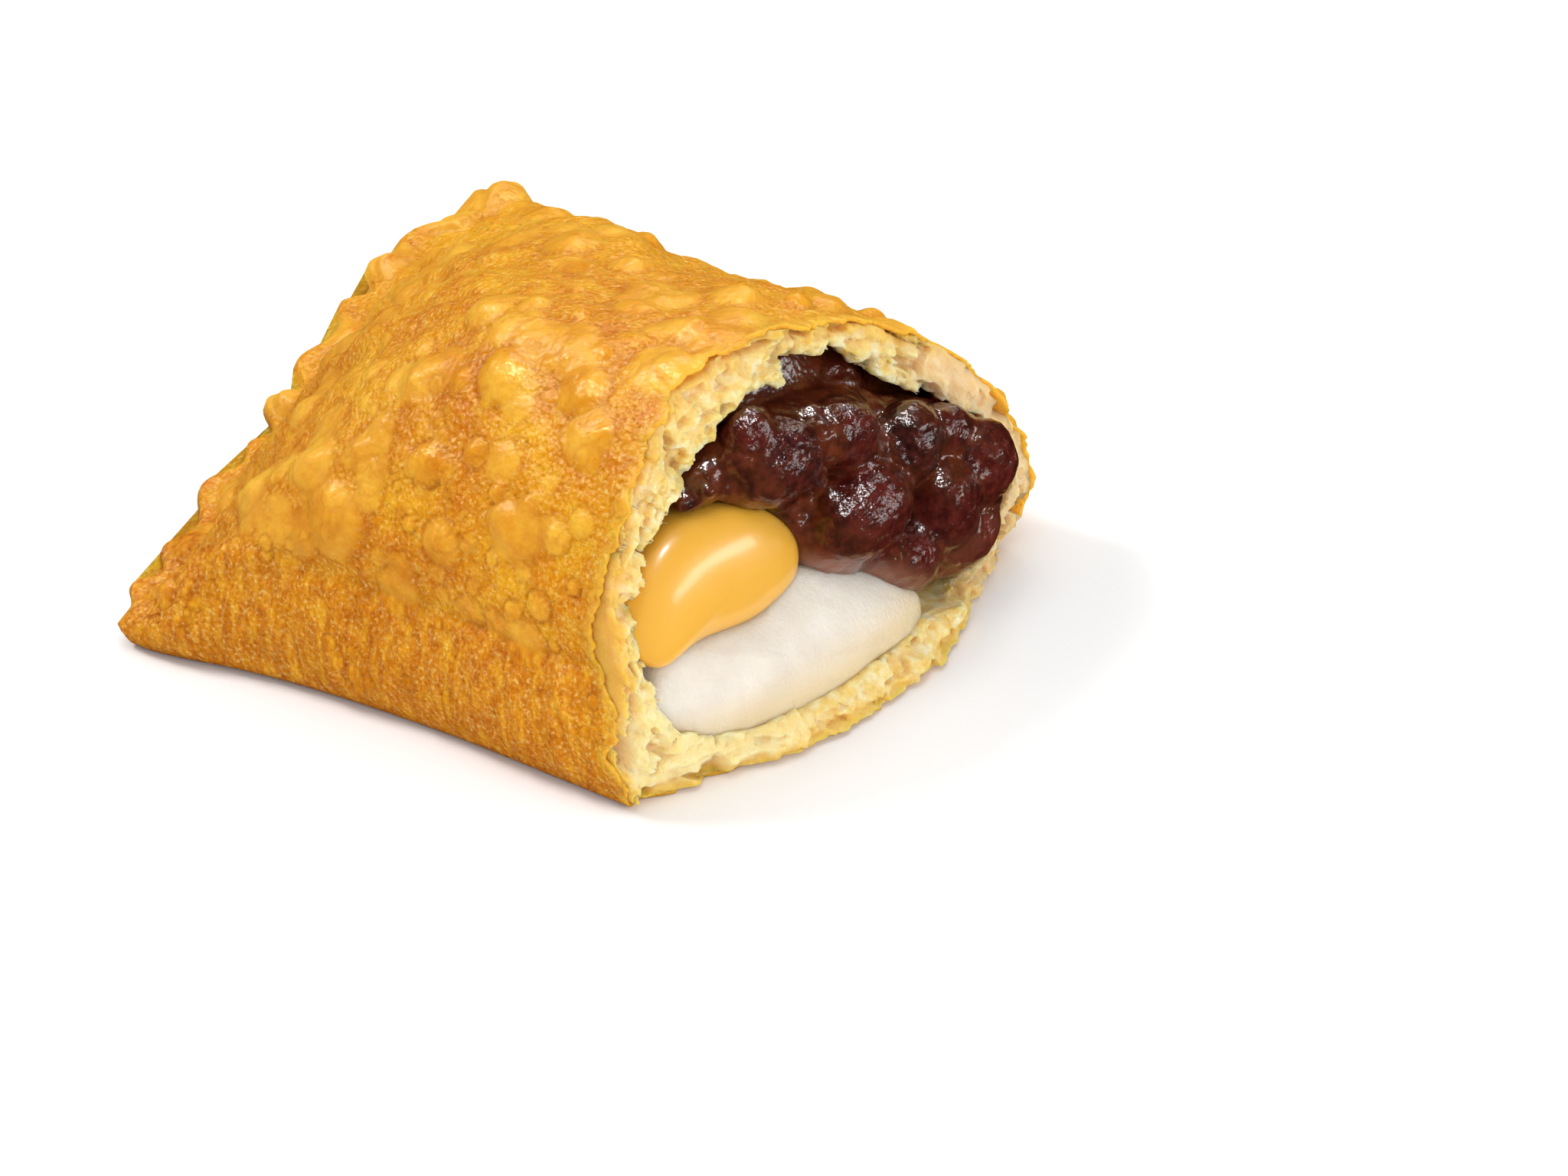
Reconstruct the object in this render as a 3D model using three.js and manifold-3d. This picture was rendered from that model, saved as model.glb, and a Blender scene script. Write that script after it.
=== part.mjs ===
// Half of a fried red bean mochi pie, torn across the middle, lying on its flat base.
// Millimetres, +Z up. +X points out of the torn face and -X to the sealed end. -Y is the
// front side, a tall folded band, and +Y the rounded back fold. The origin is under the
// middle of the pie, on the surface it rests on.

import * as THREE from "three";
import { mergeVertices } from "three/addons/utils/BufferGeometryUtils.js";
import Module from "manifold-3d";

// Driving dimensions of the crust
const TEAR_WIDTH = 54; // across the pie behind the tear
const HEIGHT = 34; // the puffed top above the base
const SEAL_THICK = 4.6; // the pressed edge
const SEAL_FLARE = 5; // the pressed edge is this much wider on each side
const FRONT_LENGTH = 59.5; // tear to sealed end along the front
const OBLIQUE = 11; // the back of the sealed end reaches this much further
const SEAL_LIFT = 9; // the back corner of the sealed end curls up this far
const LIP = 7; // the torn base sticks out
const SLANT = 5; // the torn roof stands back
const RIM_ROLL = 1.0; // the torn roof's skin dips inwards at its edge
const SKIN_BACK = 3.2; // a flap of the front wall's skin is torn back from its crumb
const CLEARANCE = 0.42; // between two neighbours, before their facets are thinned out
const SIMPLIFY = 0.09; // the fillings' facets may shift by this

// A section of the crust, with y from the front wall. band is the top of the folded front
// wall, peak the highest point, fold and heel the height and the foot of the back fold.
const TEAR_SECTION = {
  front: -0.4, corner: 1.1, bulge: 0.9, inset: 1.5, band: 12.4, peakY: 21, peak: HEIGHT,
  back: TEAR_WIDTH, fold: 6.5, heel: 47, foot: 0,
};
const SEAL_SECTION = {
  front: -SEAL_FLARE, corner: 1.0, bulge: 0.3, inset: 0.8, band: 3.2, peakY: 29, peak: SEAL_THICK,
  back: TEAR_WIDTH + SEAL_FLARE, fold: 2.3, heel: TEAR_WIDTH + 1, foot: 0,
};
// The cavity that the fillings lie in, at the tear
const CAVITY_SECTION = {
  front: 3.4, corner: 5.5, bulge: 0, inset: 1.4, band: 15.5, peakY: 26, peak: HEIGHT - 4.6,
  back: 51.4, fold: 8, heel: 45, foot: 3.3,
};
const CAVITY_END = 0.17; // share of the length that is sealed dough
const CAVITY_HEEL = 1.6; // the base thins to this under the back of the filling

// Mesh steps: stretches of a section, in the order that a loop runs
const OUTER_STEPS = { wall: 9, rise: 20, fall: 25, fold: 7, base: 10, corner: 4 };
const OUTER_RINGS = 33;
const TORN_RINGS = 4;
const CAVITY_RINGS = 10;

const HALF_PI = Math.PI / 2;
const clamp = (t) => Math.min(1, Math.max(0, t));
const mix = (a, b, t) => a + (b - a) * t;
const smooth = (t) => clamp(t) ** 2 * (3 - 2 * clamp(t));

// Repeatable draws between 0 and 1
function drawer(seed) {
  let state = seed;
  return () => {
    state = (state * 16807) % 2147483647;
    return state / 2147483647;
  };
}

// Smooth noise between -1 and 1, about one wave for each unit of length
function lattice(i, j, k) {
  const s = Math.sin(i * 127.1 + j * 311.7 + k * 74.7) * 43758.5453;
  return 2 * (s - Math.floor(s)) - 1;
}
function noise(x, y, z) {
  const [i, j, k] = [x, y, z].map(Math.floor);
  const [a, b, c] = [x - i, y - j, z - k].map((t) => t * t * (3 - 2 * t));
  let sum = 0;
  for (const [di, wi] of [[0, 1 - a], [1, a]])
    for (const [dj, wj] of [[0, 1 - b], [1, b]])
      for (const [dk, wk] of [[0, 1 - c], [1, c]])
        sum += wi * wj * wk * lattice(i + di, j + dj, k + dk);
  return sum;
}

// A closed section loop [y, z]: up the front wall, over the roof, round the back fold and
// back along the base. The roof is two quarter ellipses that meet at the peak.
function sectionLoop(size, steps) {
  const points = [];
  const wallTop = size.front + size.inset;
  const low = size.foot;
  for (let i = 0; i < steps.wall; i++) {
    const f = i / steps.wall;
    const y = mix(size.front, wallTop, f * f) - size.bulge * Math.sin(Math.PI * f ** 0.8);
    points.push([y, mix(low + size.corner, size.band, f)]);
  }
  for (let i = 0; i < steps.rise; i++) {
    const a = (i / steps.rise) * HALF_PI;
    points.push([mix(size.peakY, wallTop, Math.cos(a)), mix(size.band, size.peak, Math.sin(a))]);
  }
  for (let i = 0; i < steps.fall; i++) {
    const a = (i / steps.fall) * HALF_PI;
    points.push([mix(size.peakY, size.back, Math.sin(a)), mix(size.fold, size.peak, Math.cos(a))]);
  }
  for (let i = 0; i < steps.fold; i++) {
    const a = (i / steps.fold) * HALF_PI;
    points.push([mix(size.heel, size.back, Math.cos(a)), mix(size.fold, low, Math.sin(a))]);
  }
  for (let i = 0; i < steps.base; i++)
    points.push([mix(size.heel, size.front + size.corner, i / steps.base), low]);
  for (let i = 0; i < steps.corner; i++) {
    const a = (i / steps.corner) * HALF_PI;
    points.push([size.front + size.corner * (1 - Math.sin(a)), low + size.corner * (1 - Math.cos(a))]);
  }
  return points;
}

// The section at a share u of the length: the front wall stands up sooner than the roof
const mixSections = (a, b, u) =>
  Object.fromEntries(
    Object.keys(a).map((key) => [key, mix(a[key], b[key], key === "band" ? fullness(u * 1.4) : fullness(u))]),
  );

// How far the section at a share u of the length has puffed up from the seal's, slowly at
// first, so that a flat margin is left
function fullness(u) {
  const t = clamp((u - 0.02) / 0.72);
  return 1 - (1 - clamp((1.1 * t * t) / (t + 0.1))) ** 2.1;
}

// The curl of the sealed end, which grows to the back
const lift = (u, y) => SEAL_LIFT * (1 - smooth(u / 0.52)) * clamp((y + SEAL_FLARE) / (TEAR_WIDTH + 10)) ** 1.25;

// The sealed end's line, and its waves where the dough was pressed
function sealX(y) {
  const t = (y + SEAL_FLARE) / (TEAR_WIDTH + 2 * SEAL_FLARE);
  const wave = 0.9 * Math.sin(y * 0.95 + 1.1 * Math.sin(y * 0.31)) + 0.6 * noise(y * 0.33, 4.5, 0.5);
  return -FRONT_LENGTH - OBLIQUE * Math.sin(HALF_PI * clamp(t / 0.82)) ** 1.3 + wave;
}

// The torn edge: the base sticks out, the roof stands back, and all of it is ragged
function tearX(y, z, rough = 1) {
  const low = clamp(1 - z / 14);
  const middle = Math.sin(Math.PI * clamp(y / 50));
  const high = clamp((z - 8) / 27) ** 1.2;
  const ragged = 0.8 * noise(y * 0.37, z * 0.37, 2.5) + 0.5 * noise(y * 0.9, z * 0.9, 7.5);
  return LIP * low * middle - SLANT * high + rough * ragged;
}

// The skin's roll at the torn edge, strongest over the back of the roof
const rimRoll = (u, y, z) =>
  RIM_ROLL * smooth((u - 0.86) / 0.14) * smooth(z / 20) * mix(0.35, 1, smooth((y - 14) / 22));

// The skin ends short of the crumb, most of all on the front wall
const skinBack = (y, z) =>
  0.5 + smooth((9 - y) / 8) * smooth((z - 1) / 4) * mix(0.7, SKIN_BACK, smooth((z - 9) / 4) * smooth((22 - z) / 6));

// The back of the roof sinks a little behind the tear
const sag = (u, y, z) => 1.3 * Math.sin(Math.PI * clamp((u - 0.45) / 0.55)) * smooth((y - 16) / 14) * smooth(z / 12);

// Blisters on the roof and walls, each a dome [centre, radius, height]
const BLISTERS = [
  // those that stand out: share of the length, y, radius, height
  [0.42, 13, 4.6, 1.1], [0.3, 15, 4.8, 1.2], [0.57, 20, 5.4, 1.5], [0.74, 15, 5.0, 1.0],
  [0.36, 6, 3.4, 0.9], [0.86, 24, 5.2, 1.3], [0.62, 38, 4.6, 1.4], [0.9, 39, 4.2, 1.5],
  [0.78, 46, 3.6, 1.1], [0.24, 33, 5.0, 1.3], [0.14, 14, 4.4, 1.1], [0.5, 31, 4.0, 1.0],
  // along the sealed edge
  [0.055, 1, 3.6, 1.2], [0.05, 13, 3.8, 1.3], [0.05, 25, 4.0, 1.3], [0.05, 37, 4.2, 1.5], [0.06, 49, 4.2, 1.4],
];

function blisters(skinPoint) {
  const draw = drawer(20231);
  const found = BLISTERS.map(([u, y, radius, height]) => ({ centre: skinPoint(u, y), radius, height }));
  for (let i = 0; i < 46; i++) {
    const radius = 1.9 + 2.2 * draw() ** 2;
    found.push({ centre: skinPoint(0.05 + 0.9 * draw(), 2 + 49 * draw()), radius, height: 0.24 * radius });
  }
  return found;
}

// Closed mesh from rings of equal length, with a fan over the first and the last ring
function ringsGeometry(rings) {
  const count = rings[0].length;
  const middles = [rings[0], rings.at(-1)].map((ring) =>
    [0, 1, 2].map((axis) => ring.reduce((sum, p) => sum + p[axis], 0) / count),
  );
  const index = [];
  for (let i = 0; i < count; i++) {
    const next = (i + 1) % count;
    for (let r = 0; r + 1 < rings.length; r++) {
      const [a, b] = [r * count + i, r * count + next];
      index.push(a, a + count, b, b, a + count, b + count);
    }
    const last = (rings.length - 1) * count;
    index.push(rings.length * count, i, next, rings.length * count + 1, last + next, last + i);
  }
  return new THREE.BufferGeometry()
    .setAttribute("position", new THREE.Float32BufferAttribute([...rings.flat(2), ...middles.flat()], 3))
    .setIndex(index);
}

// The crust's outer skin: a ring of [x, y, z] at a share u of the length, y from mid-width
function skinRing(u, steps = OUTER_STEPS) {
  const section = mixSections(SEAL_SECTION, TEAR_SECTION, u);
  const tear = sectionLoop(TEAR_SECTION, steps);
  return sectionLoop(section, steps).map(([y, z], i) => {
    const x = mix(sealX(y), tearX(...tear[i]) - skinBack(...tear[i]), u);
    const low = z > 0.01 ? rimRoll(u, y, z) + sag(u, y, z) : 0;
    return [x, y - TEAR_WIDTH / 2, z - low + lift(u, y)];
  });
}

// The skin's point at a share u of the length and y from the front, on its upper side
function skinPoint(u, y) {
  const upper = skinRing(u).slice(OUTER_STEPS.wall, OUTER_STEPS.wall + OUTER_STEPS.rise + OUTER_STEPS.fall);
  const wanted = y - TEAR_WIDTH / 2;
  return upper.reduce((best, p) => (Math.abs(p[1] - wanted) < Math.abs(best[1] - wanted) ? p : best));
}

// Outward normals of a grid of rings, by central differences
function gridNormals(rings) {
  const count = rings[0].length;
  return rings.map((ring, r) => {
    const [before, after] = [rings[Math.max(0, r - 1)], rings[Math.min(rings.length - 1, r + 1)]];
    return ring.map((_, i) => {
      const along = new THREE.Vector3(...after[i]).sub(new THREE.Vector3(...before[i]));
      const around = new THREE.Vector3(...ring[(i + 1) % count])
        .sub(new THREE.Vector3(...ring[(i + count - 1) % count]));
      return along.cross(around).normalize();
    });
  });
}

// Domes and a slow unevenness of the skin. The flat base stays flat.
function skinRelief(rings, shares) {
  const domes = blisters(skinPoint);
  const normals = gridNormals(rings);
  return rings.map((ring, r) =>
    ring.map((p, i) => {
      const upright = smooth((p[2] - 1.2) / 3);
      let height = 0.45 * noise(p[0] * 0.13, p[1] * 0.13, p[2] * 0.13) + 0.25 * noise(p[0] * 0.4, p[1] * 0.4, 3);
      for (const { centre, radius, height: h } of domes) {
        const away = Math.hypot(p[0] - centre[0], p[1] - centre[1], p[2] - centre[2]) / radius;
        if (away < 1) height = Math.max(height, h * (1 - away * away) ** 0.7);
      }
      const faded = height * upright * smooth(shares[r] / 0.03);
      return [p[0] + normals[r][i].x * faded, p[1] + normals[r][i].y * faded, p[2] + normals[r][i].z * faded];
    }),
  );
}

// A filling's or the cavity's section point [y, z], given at the tear, carried to a share u
// of the length, where the cavity is lower and its ends draw in
function inside(u, [y, z], faceX) {
  const full = fullness(u);
  const shrink = (clamp((u - CAVITY_END) / 0.12) * (2 - clamp((u - CAVITY_END) / 0.12))) ** 0.5;
  const middle = (CAVITY_SECTION.front + CAVITY_SECTION.back) / 2;
  const roof = mix(SEAL_THICK, HEIGHT, full) - (HEIGHT - CAVITY_SECTION.peak) * mix(0.72, 1, full);
  const flat = (roof - CAVITY_SECTION.foot) / (CAVITY_SECTION.peak - CAVITY_SECTION.foot);
  const wide = mix(0.55, 1, shrink) * mix(0.94, 1, full);
  const across = middle + (y - middle) * wide;
  const up = CAVITY_SECTION.foot + (z - CAVITY_SECTION.foot) * flat * mix(0.3, 1, shrink);
  const along = mix(sealX(across), faceX, u);
  return [along, across - TEAR_WIDTH / 2, up + lift(u, across) + 1.2 * (1 - full)];
}

// The cavity's loop at the tear, with the base thinned under the back of the filling
const cavityLoop = () =>
  sectionLoop(CAVITY_SECTION, OUTER_STEPS).map(([y, z]) => {
    const low = clamp(1 - (z - CAVITY_SECTION.foot) / 5);
    return [y, z - (CAVITY_SECTION.foot - CAVITY_HEEL) * smooth((y - 33) / 7) * low];
  });

// A closed loop moved outwards by a distance
function offsetLoop(loop, distance) {
  return loop.map(([y, z], i) => {
    const [y0, z0] = loop[(i + loop.length - 1) % loop.length];
    const [y1, z1] = loop[(i + 1) % loop.length];
    const length = Math.hypot(y1 - y0, z1 - z0);
    return [y - (distance * (z1 - z0)) / length, z + (distance * (y1 - y0)) / length];
  });
}

// The crust: skin from the seal to the tear, the torn face inwards, and the cavity's wall
function crustGeometry() {
  const shares = Array.from({ length: OUTER_RINGS }, (_, r) => {
    const t = r / (OUTER_RINGS - 1);
    return mix(t, t - Math.sin(2 * Math.PI * t) / (2 * Math.PI), 0.35);
  });
  const skin = skinRelief(shares.map((u) => skinRing(u)), shares);
  const count = skin[0].length;
  // the pressed edge rounds off before its cap
  const edge = [0.62, 0.9].map((part) =>
    skin[0].map(([x, y, z]) => {
      const middle = SEAL_THICK / 2 + lift(0, y + TEAR_WIDTH / 2);
      return [x - mix(1.3, 0, part), y * mix(0.985, 1, part), mix(middle, z, part)];
    }),
  );
  const lip = skin.at(-1);
  const wall = cavityLoop();
  const torn = [];
  for (let r = 1; r <= TORN_RINGS; r++) {
    const f = r / TORN_RINGS;
    torn.push(
      Array.from({ length: count }, (_, i) => {
        const [y, z] = wall[i];
        const inner = inside(1, wall[i], tearX(y, z, 0.6) - 0.6);
        const crag = 0.9 * Math.sin(Math.PI * clamp(f)) * (0.5 + noise(lip[i][1] * 0.5 + 9 * f, lip[i][2] * 0.5, 5.5));
        return [mix(lip[i][0], inner[0], f) + crag, mix(lip[i][1], inner[1], f), mix(lip[i][2], inner[2], f)];
      }),
    );
  }
  return ringsGeometry([...edge, ...skin, ...torn, ...hollowRings().slice(1)]);
}

// The cavity's rings from the tear inwards, optionally drawn in by a distance
function hollowRings(inset = 0) {
  const wall = cavityLoop();
  return Array.from({ length: CAVITY_RINGS + 1 }, (_, r) => {
    const u = mix(1, CAVITY_END, (r / CAVITY_RINGS) ** 1.1);
    return grown(wall.map(([y, z]) => inside(u, [y, z], tearX(y, z, 0.6) - 0.6)), -inset);
  });
}

// Smooth closed loop through a few outline points
function curveLoop(points, count) {
  const curve = new THREE.CatmullRomCurve3(points.map(([y, z]) => new THREE.Vector3(0, y, z)), true, "centripetal");
  return curve.getSpacedPoints(count).slice(0, count).map((p) => [p.y, p.z]);
}

// A ring of [x, y, z] let out in its own plane, and along the pie by a share of the same
function grown(ring, distance, along = 0) {
  const out = offsetLoop(ring.map(([, y, z]) => [y, z]), distance);
  return ring.map(([x], i) => [x + along * distance, ...out[i]]);
}

// A filling that runs through the pie from the sealed end to a domed face at the tear
function fillingRings(loop, grow, { faceX, dome, end = CAVITY_END + 0.045, rings = 9, capRings = 4 }) {
  const centre = loop.reduce(([a, b], [y, z]) => [a + y / loop.length, b + z / loop.length], [0, 0]);
  const made = [];
  for (let r = 0; r <= rings; r++) {
    const u = mix(end, 1, (r / rings) ** 0.9);
    made.push(grown(loop.map((p) => inside(u, p, faceX(...p))), grow, mix(-1, 1, r / rings)));
  }
  for (let r = 1; r <= capRings; r++) {
    const a = (r / (capRings + 0.6)) * HALF_PI;
    const ring = loop.map(([y, z]) => {
      const p = [mix(centre[0], y, Math.cos(a)), mix(centre[1], z, Math.cos(a))];
      const [x, across, up] = inside(1, p, faceX(...p));
      return [x + dome * Math.sin(a), across, up];
    });
    made.push(grown(ring, grow, 1));
  }
  return made;
}

const wasm = await Module();
wasm.setup();

function toSolid(geometry) {
  const bare = geometry.clone();
  bare.deleteAttribute("normal");
  bare.deleteAttribute("uv");
  const merged = mergeVertices(bare, 1e-4);
  return new wasm.Manifold(
    new wasm.Mesh({
      numProp: 3,
      vertProperties: merged.attributes.position.array,
      triVerts: new Uint32Array(merged.index.array),
    }),
  );
}

// The largest body of a solid, lightly simplified: slivers left by the cuts are dropped
function toGeometry(cut) {
  const solid = cut.decompose().reduce((a, b) => (a.volume() > b.volume() ? a : b)).simplify(SIMPLIFY);
  const { numProp, vertProperties, triVerts } = solid.getMesh();
  const position = new Float32Array((vertProperties.length / numProp) * 3);
  for (let i = 0; i < position.length / 3; i++)
    position.set(vertProperties.subarray(i * numProp, i * numProp + 3), i * 3);
  return new THREE.BufferGeometry()
    .setAttribute("position", new THREE.BufferAttribute(position, 3))
    .setIndex(new THREE.BufferAttribute(triVerts, 1));
}

const loftSolid = (rings) => toSolid(ringsGeometry(rings));

// Outlines of the fillings at the tear, [y, z]
const MOCHI_OUTLINE = [
  [3.9, 9.2], [6.6, 11.7], [12, 11.4], [17.5, 10.6], [22.5, 11.6], [27, 10.6], [31.2, 7.6], [34.2, 4.0],
  [27, 3.4], [15, 3.4], [7.2, 5.0],
];
const CREAM_OUTLINE = [
  [3.2, 14.4], [5.2, 19.4], [10.2, 22.2], [16.5, 21.6], [21.6, 18.8], [24.0, 14.6], [22.6, 12.2],
  [17.2, 11.0], [10.6, 11.8], [5.4, 11.6],
];
const PASTE_OUTLINE = [
  [12.6, 22.4], [15.8, 25.2], [21, 26.2], [28, 25.8], [34.5, 24.0], [40.5, 20.4], [46.5, 16.6], [50.9, 11.4],
  [51.0, 6.6], [47.4, 2.6], [41, 2.2], [35.4, 4.2], [30.6, 8.6], [25, 12.4], [23.4, 17.4], [18.4, 21.6],
];

// Whole beans that show in the paste's face: y, z, how far out, length, width, tilt in degrees
const BEANS = [
  [31.5, 14.2, 0.4, 8.6, 7.8, 40], [24.0, 22.4, -1.8, 10.4, 6.6, 5], [31.8, 21.6, -1.4, 7.8, 5.8, -20],
  [38.6, 17.4, -0.4, 7.4, 6.2, 60], [46.6, 11.6, 0.6, 8.2, 7.4, 75], [40.6, 10.2, 1.2, 8.8, 6.4, 80],
  [45.4, 5.2, 1.6, 8.4, 5.6, 20], [27.0, 16.8, -0.6, 6.6, 5.2, 70], [34.8, 7.8, 1.6, 7.4, 5.0, -30],
  [21.8, 26.0, -3.2, 5.6, 4.6, 30], [43.6, 15.8, -0.8, 6.0, 4.8, -10], [33.6, 18.2, -1.6, 5.4, 4.4, 0],
  [36.6, 22.4, -6.0, 7.8, 6.0, 30], [28.6, 24.8, -8.0, 8.0, 6.2, -15], [19.6, 24.6, -7.5, 7.6, 6.0, 15],
];

function beanSolid([y, z, out, length, width, tilt]) {
  const bean = new THREE.SphereGeometry(0.5, 10, 7)
    .scale(width * 0.92, length, width)
    .rotateX(THREE.MathUtils.degToRad(tilt))
    .translate(...inside(1, [y, z], out));
  return toSolid(bean);
}

// The face of each filling follows the slant of the tear
const faceOf = (base, lean) => (y, z) => base - lean * clamp((z - 6) / 24);

const mochiFace = (y, z) => tearX(y, z, 0) - 1.6;
const mochiSolid = (grow) =>
  loftSolid(fillingRings(curveLoop(MOCHI_OUTLINE, 36), grow, { faceX: mochiFace, dome: 2.2, capRings: 5 }));
const creamSolid = (grow) =>
  loftSolid(fillingRings(curveLoop(CREAM_OUTLINE, 30), grow, { faceX: faceOf(-0.4, 4.2), dome: 2.6 }));

function fillings() {
  // The space that the fillings may take: the cavity, let out past the tear
  const cavity = hollowRings(CLEARANCE).reverse();
  const beyond = cavity.at(-1).map(([, y, z]) => [2 * LIP, y, z]);
  const end = grown(cavity[0], -CLEARANCE / 2, -4);
  const space = loftSolid([end, ...cavity.slice(1), beyond]);
  const mochi = mochiSolid(0).intersect(space);
  const cream = creamSolid(0).intersect(space).subtract(mochiSolid(CLEARANCE));
  const core = loftSolid(fillingRings(curveLoop(PASTE_OUTLINE, 40), 0, { faceX: faceOf(-0.4, 4), dome: 1.2 }));
  const paste = BEANS.reduce((heap, bean) => heap.add(beanSolid(bean)), core)
    .intersect(space)
    .subtract(mochiSolid(CLEARANCE))
    .subtract(creamSolid(CLEARANCE));
  return { mochi, cream, paste };
}

const material = (color, roughness) => new THREE.MeshStandardMaterial({ color, roughness, metalness: 0 });
const { mochi, cream, paste } = fillings();
const PIECES = [
  ["crust", crustGeometry(), material(0xe8a63a, 0.45)],
  ["mochi", toGeometry(mochi), material(0xf1ebe3, 0.5)],
  ["cream", toGeometry(cream), material(0xf0bb62, 0.2)],
  ["red_bean_paste", toGeometry(paste), material(0x3a1512, 0.2)],
];

const pie = new THREE.Group();
const box = new THREE.Box3();
for (const [, geometry] of PIECES)
  box.union(new THREE.Box3().setFromBufferAttribute(geometry.attributes.position));
const middle = box.getCenter(new THREE.Vector3());
for (const [name, geometry, skin] of PIECES) {
  geometry.translate(-middle.x, -middle.y, -box.min.z);
  geometry.computeVertexNormals();
  const mesh = new THREE.Mesh(geometry, skin);
  mesh.name = name;
  pie.add(mesh);
}

export default pie;
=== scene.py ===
import math

import bpy
import numpy as np
from mathutils import Matrix, Vector


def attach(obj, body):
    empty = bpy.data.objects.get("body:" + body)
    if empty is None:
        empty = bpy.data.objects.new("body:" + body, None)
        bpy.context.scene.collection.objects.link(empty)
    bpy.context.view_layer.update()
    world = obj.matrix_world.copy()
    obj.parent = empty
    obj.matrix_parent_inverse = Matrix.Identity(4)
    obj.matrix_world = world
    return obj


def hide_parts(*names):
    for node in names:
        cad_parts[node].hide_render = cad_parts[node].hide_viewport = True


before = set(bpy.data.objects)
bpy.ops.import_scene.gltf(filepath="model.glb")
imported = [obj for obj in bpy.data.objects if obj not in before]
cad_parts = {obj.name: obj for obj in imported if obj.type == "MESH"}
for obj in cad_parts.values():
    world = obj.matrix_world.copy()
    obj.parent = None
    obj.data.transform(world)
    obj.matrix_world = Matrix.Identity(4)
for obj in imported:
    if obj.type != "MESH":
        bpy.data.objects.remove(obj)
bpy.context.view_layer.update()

# Driving dimensions of the crust, in millimetres, as in the CAD source. x runs from 0 at the
# tear to the sealed end at -X, y from the front wall and z from the base. Shares of the length
# run from 0 at the sealed end to 1 at the tear.
TEAR_WIDTH = 54.0
HEIGHT = 34.0
SEAL_THICK = 4.6
SEAL_FLARE = 5.0
SEAL_WIDTH = TEAR_WIDTH + 2 * SEAL_FLARE
FRONT_LENGTH = 59.5
OBLIQUE = 11.0
OBLIQUE_SHARE = 0.82  # share of the sealed end's width that runs obliquely
SEAL_LIFT = 9.0
LIFT_END = 0.52
FULL_START = 0.02
FULL_OVER = 0.72
WALL_LEAD = 1.4  # how much sooner the front wall stands up than the roof
LIP = 7.0
LIP_WIDTH = 50.0
LIP_HEIGHT = 14.0
SLANT = 5.0
SLANT_FOOT = 8.0
SLANT_HEIGHT = 27.0
RIM_ROLL = 1.0
ROLL_SPAN = (0.86, 0.14)
SAG = 1.3
SAG_SPAN = (0.45, 0.55)
SKIN_BACK = 3.2
CAVITY_HEEL = 1.6
SHIFT = np.array([32.65, -26.95, 0.0])  # from the driving frame to the row's frame
MM = 0.001

TEAR_SECTION = dict(front=-0.4, corner=1.1, bulge=0.9, inset=1.5, band=12.4, peak_y=21.0, peak=HEIGHT,
                    back=TEAR_WIDTH, fold=6.5, heel=47.0, foot=0.0)
SEAL_SECTION = dict(front=-SEAL_FLARE, corner=1.0, bulge=0.3, inset=0.8, band=3.2, peak_y=29.0,
                    peak=SEAL_THICK, back=TEAR_WIDTH + SEAL_FLARE, fold=2.3, heel=TEAR_WIDTH + 1, foot=0.0)
CAVITY_SECTION = dict(front=3.4, corner=5.5, bulge=0.0, inset=1.4, band=15.5, peak_y=26.0,
                      peak=HEIGHT - 4.6, back=51.4, fold=8.0, heel=45.0, foot=3.3)
HALF_PI = math.pi / 2

# The skin
SKIN_STEPS = dict(wall=46, rise=108, fall=126, fold=20, base=56, corner=5)
SKIN_RINGS = 226
SKIN_SEED = 7
BAND = 12.4
LEVEL_SPAN = (0.6, 2.5)  # the skin stays smooth below this, as it lies on the ground
BLISTER_BOOST = 1.1
BLISTER_REACH = 1.25  # a blister's reach in x for each unit of its radius
HALO_DEPTH = 0.16
EDGE_ROUND = 1.3
EDGE_PARTS = (0.35, 0.7, 0.92)
RAGGED_SPAN = (0.95, 0.05)
DRAWN_IN_TO = 0.22

# Seeded blisters: how many, least and greatest radius, height as a share of it, gloss
SEEDED = [(280, 1.0, 3.4, 0.15, 0.25), (620, 0.35, 0.9, 0.24, 0.8)]

# Rings of the turned torn edge: how far back, how deep, how much without blisters
RIM_RINGS = [(-0.08, 0.16, 0.0), (0.0, 0.42, 0.1), (1.2, 0.62, 0.5), (6.0, 1.5, 1.0), (12.0, 2.6, 1.0)]

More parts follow.
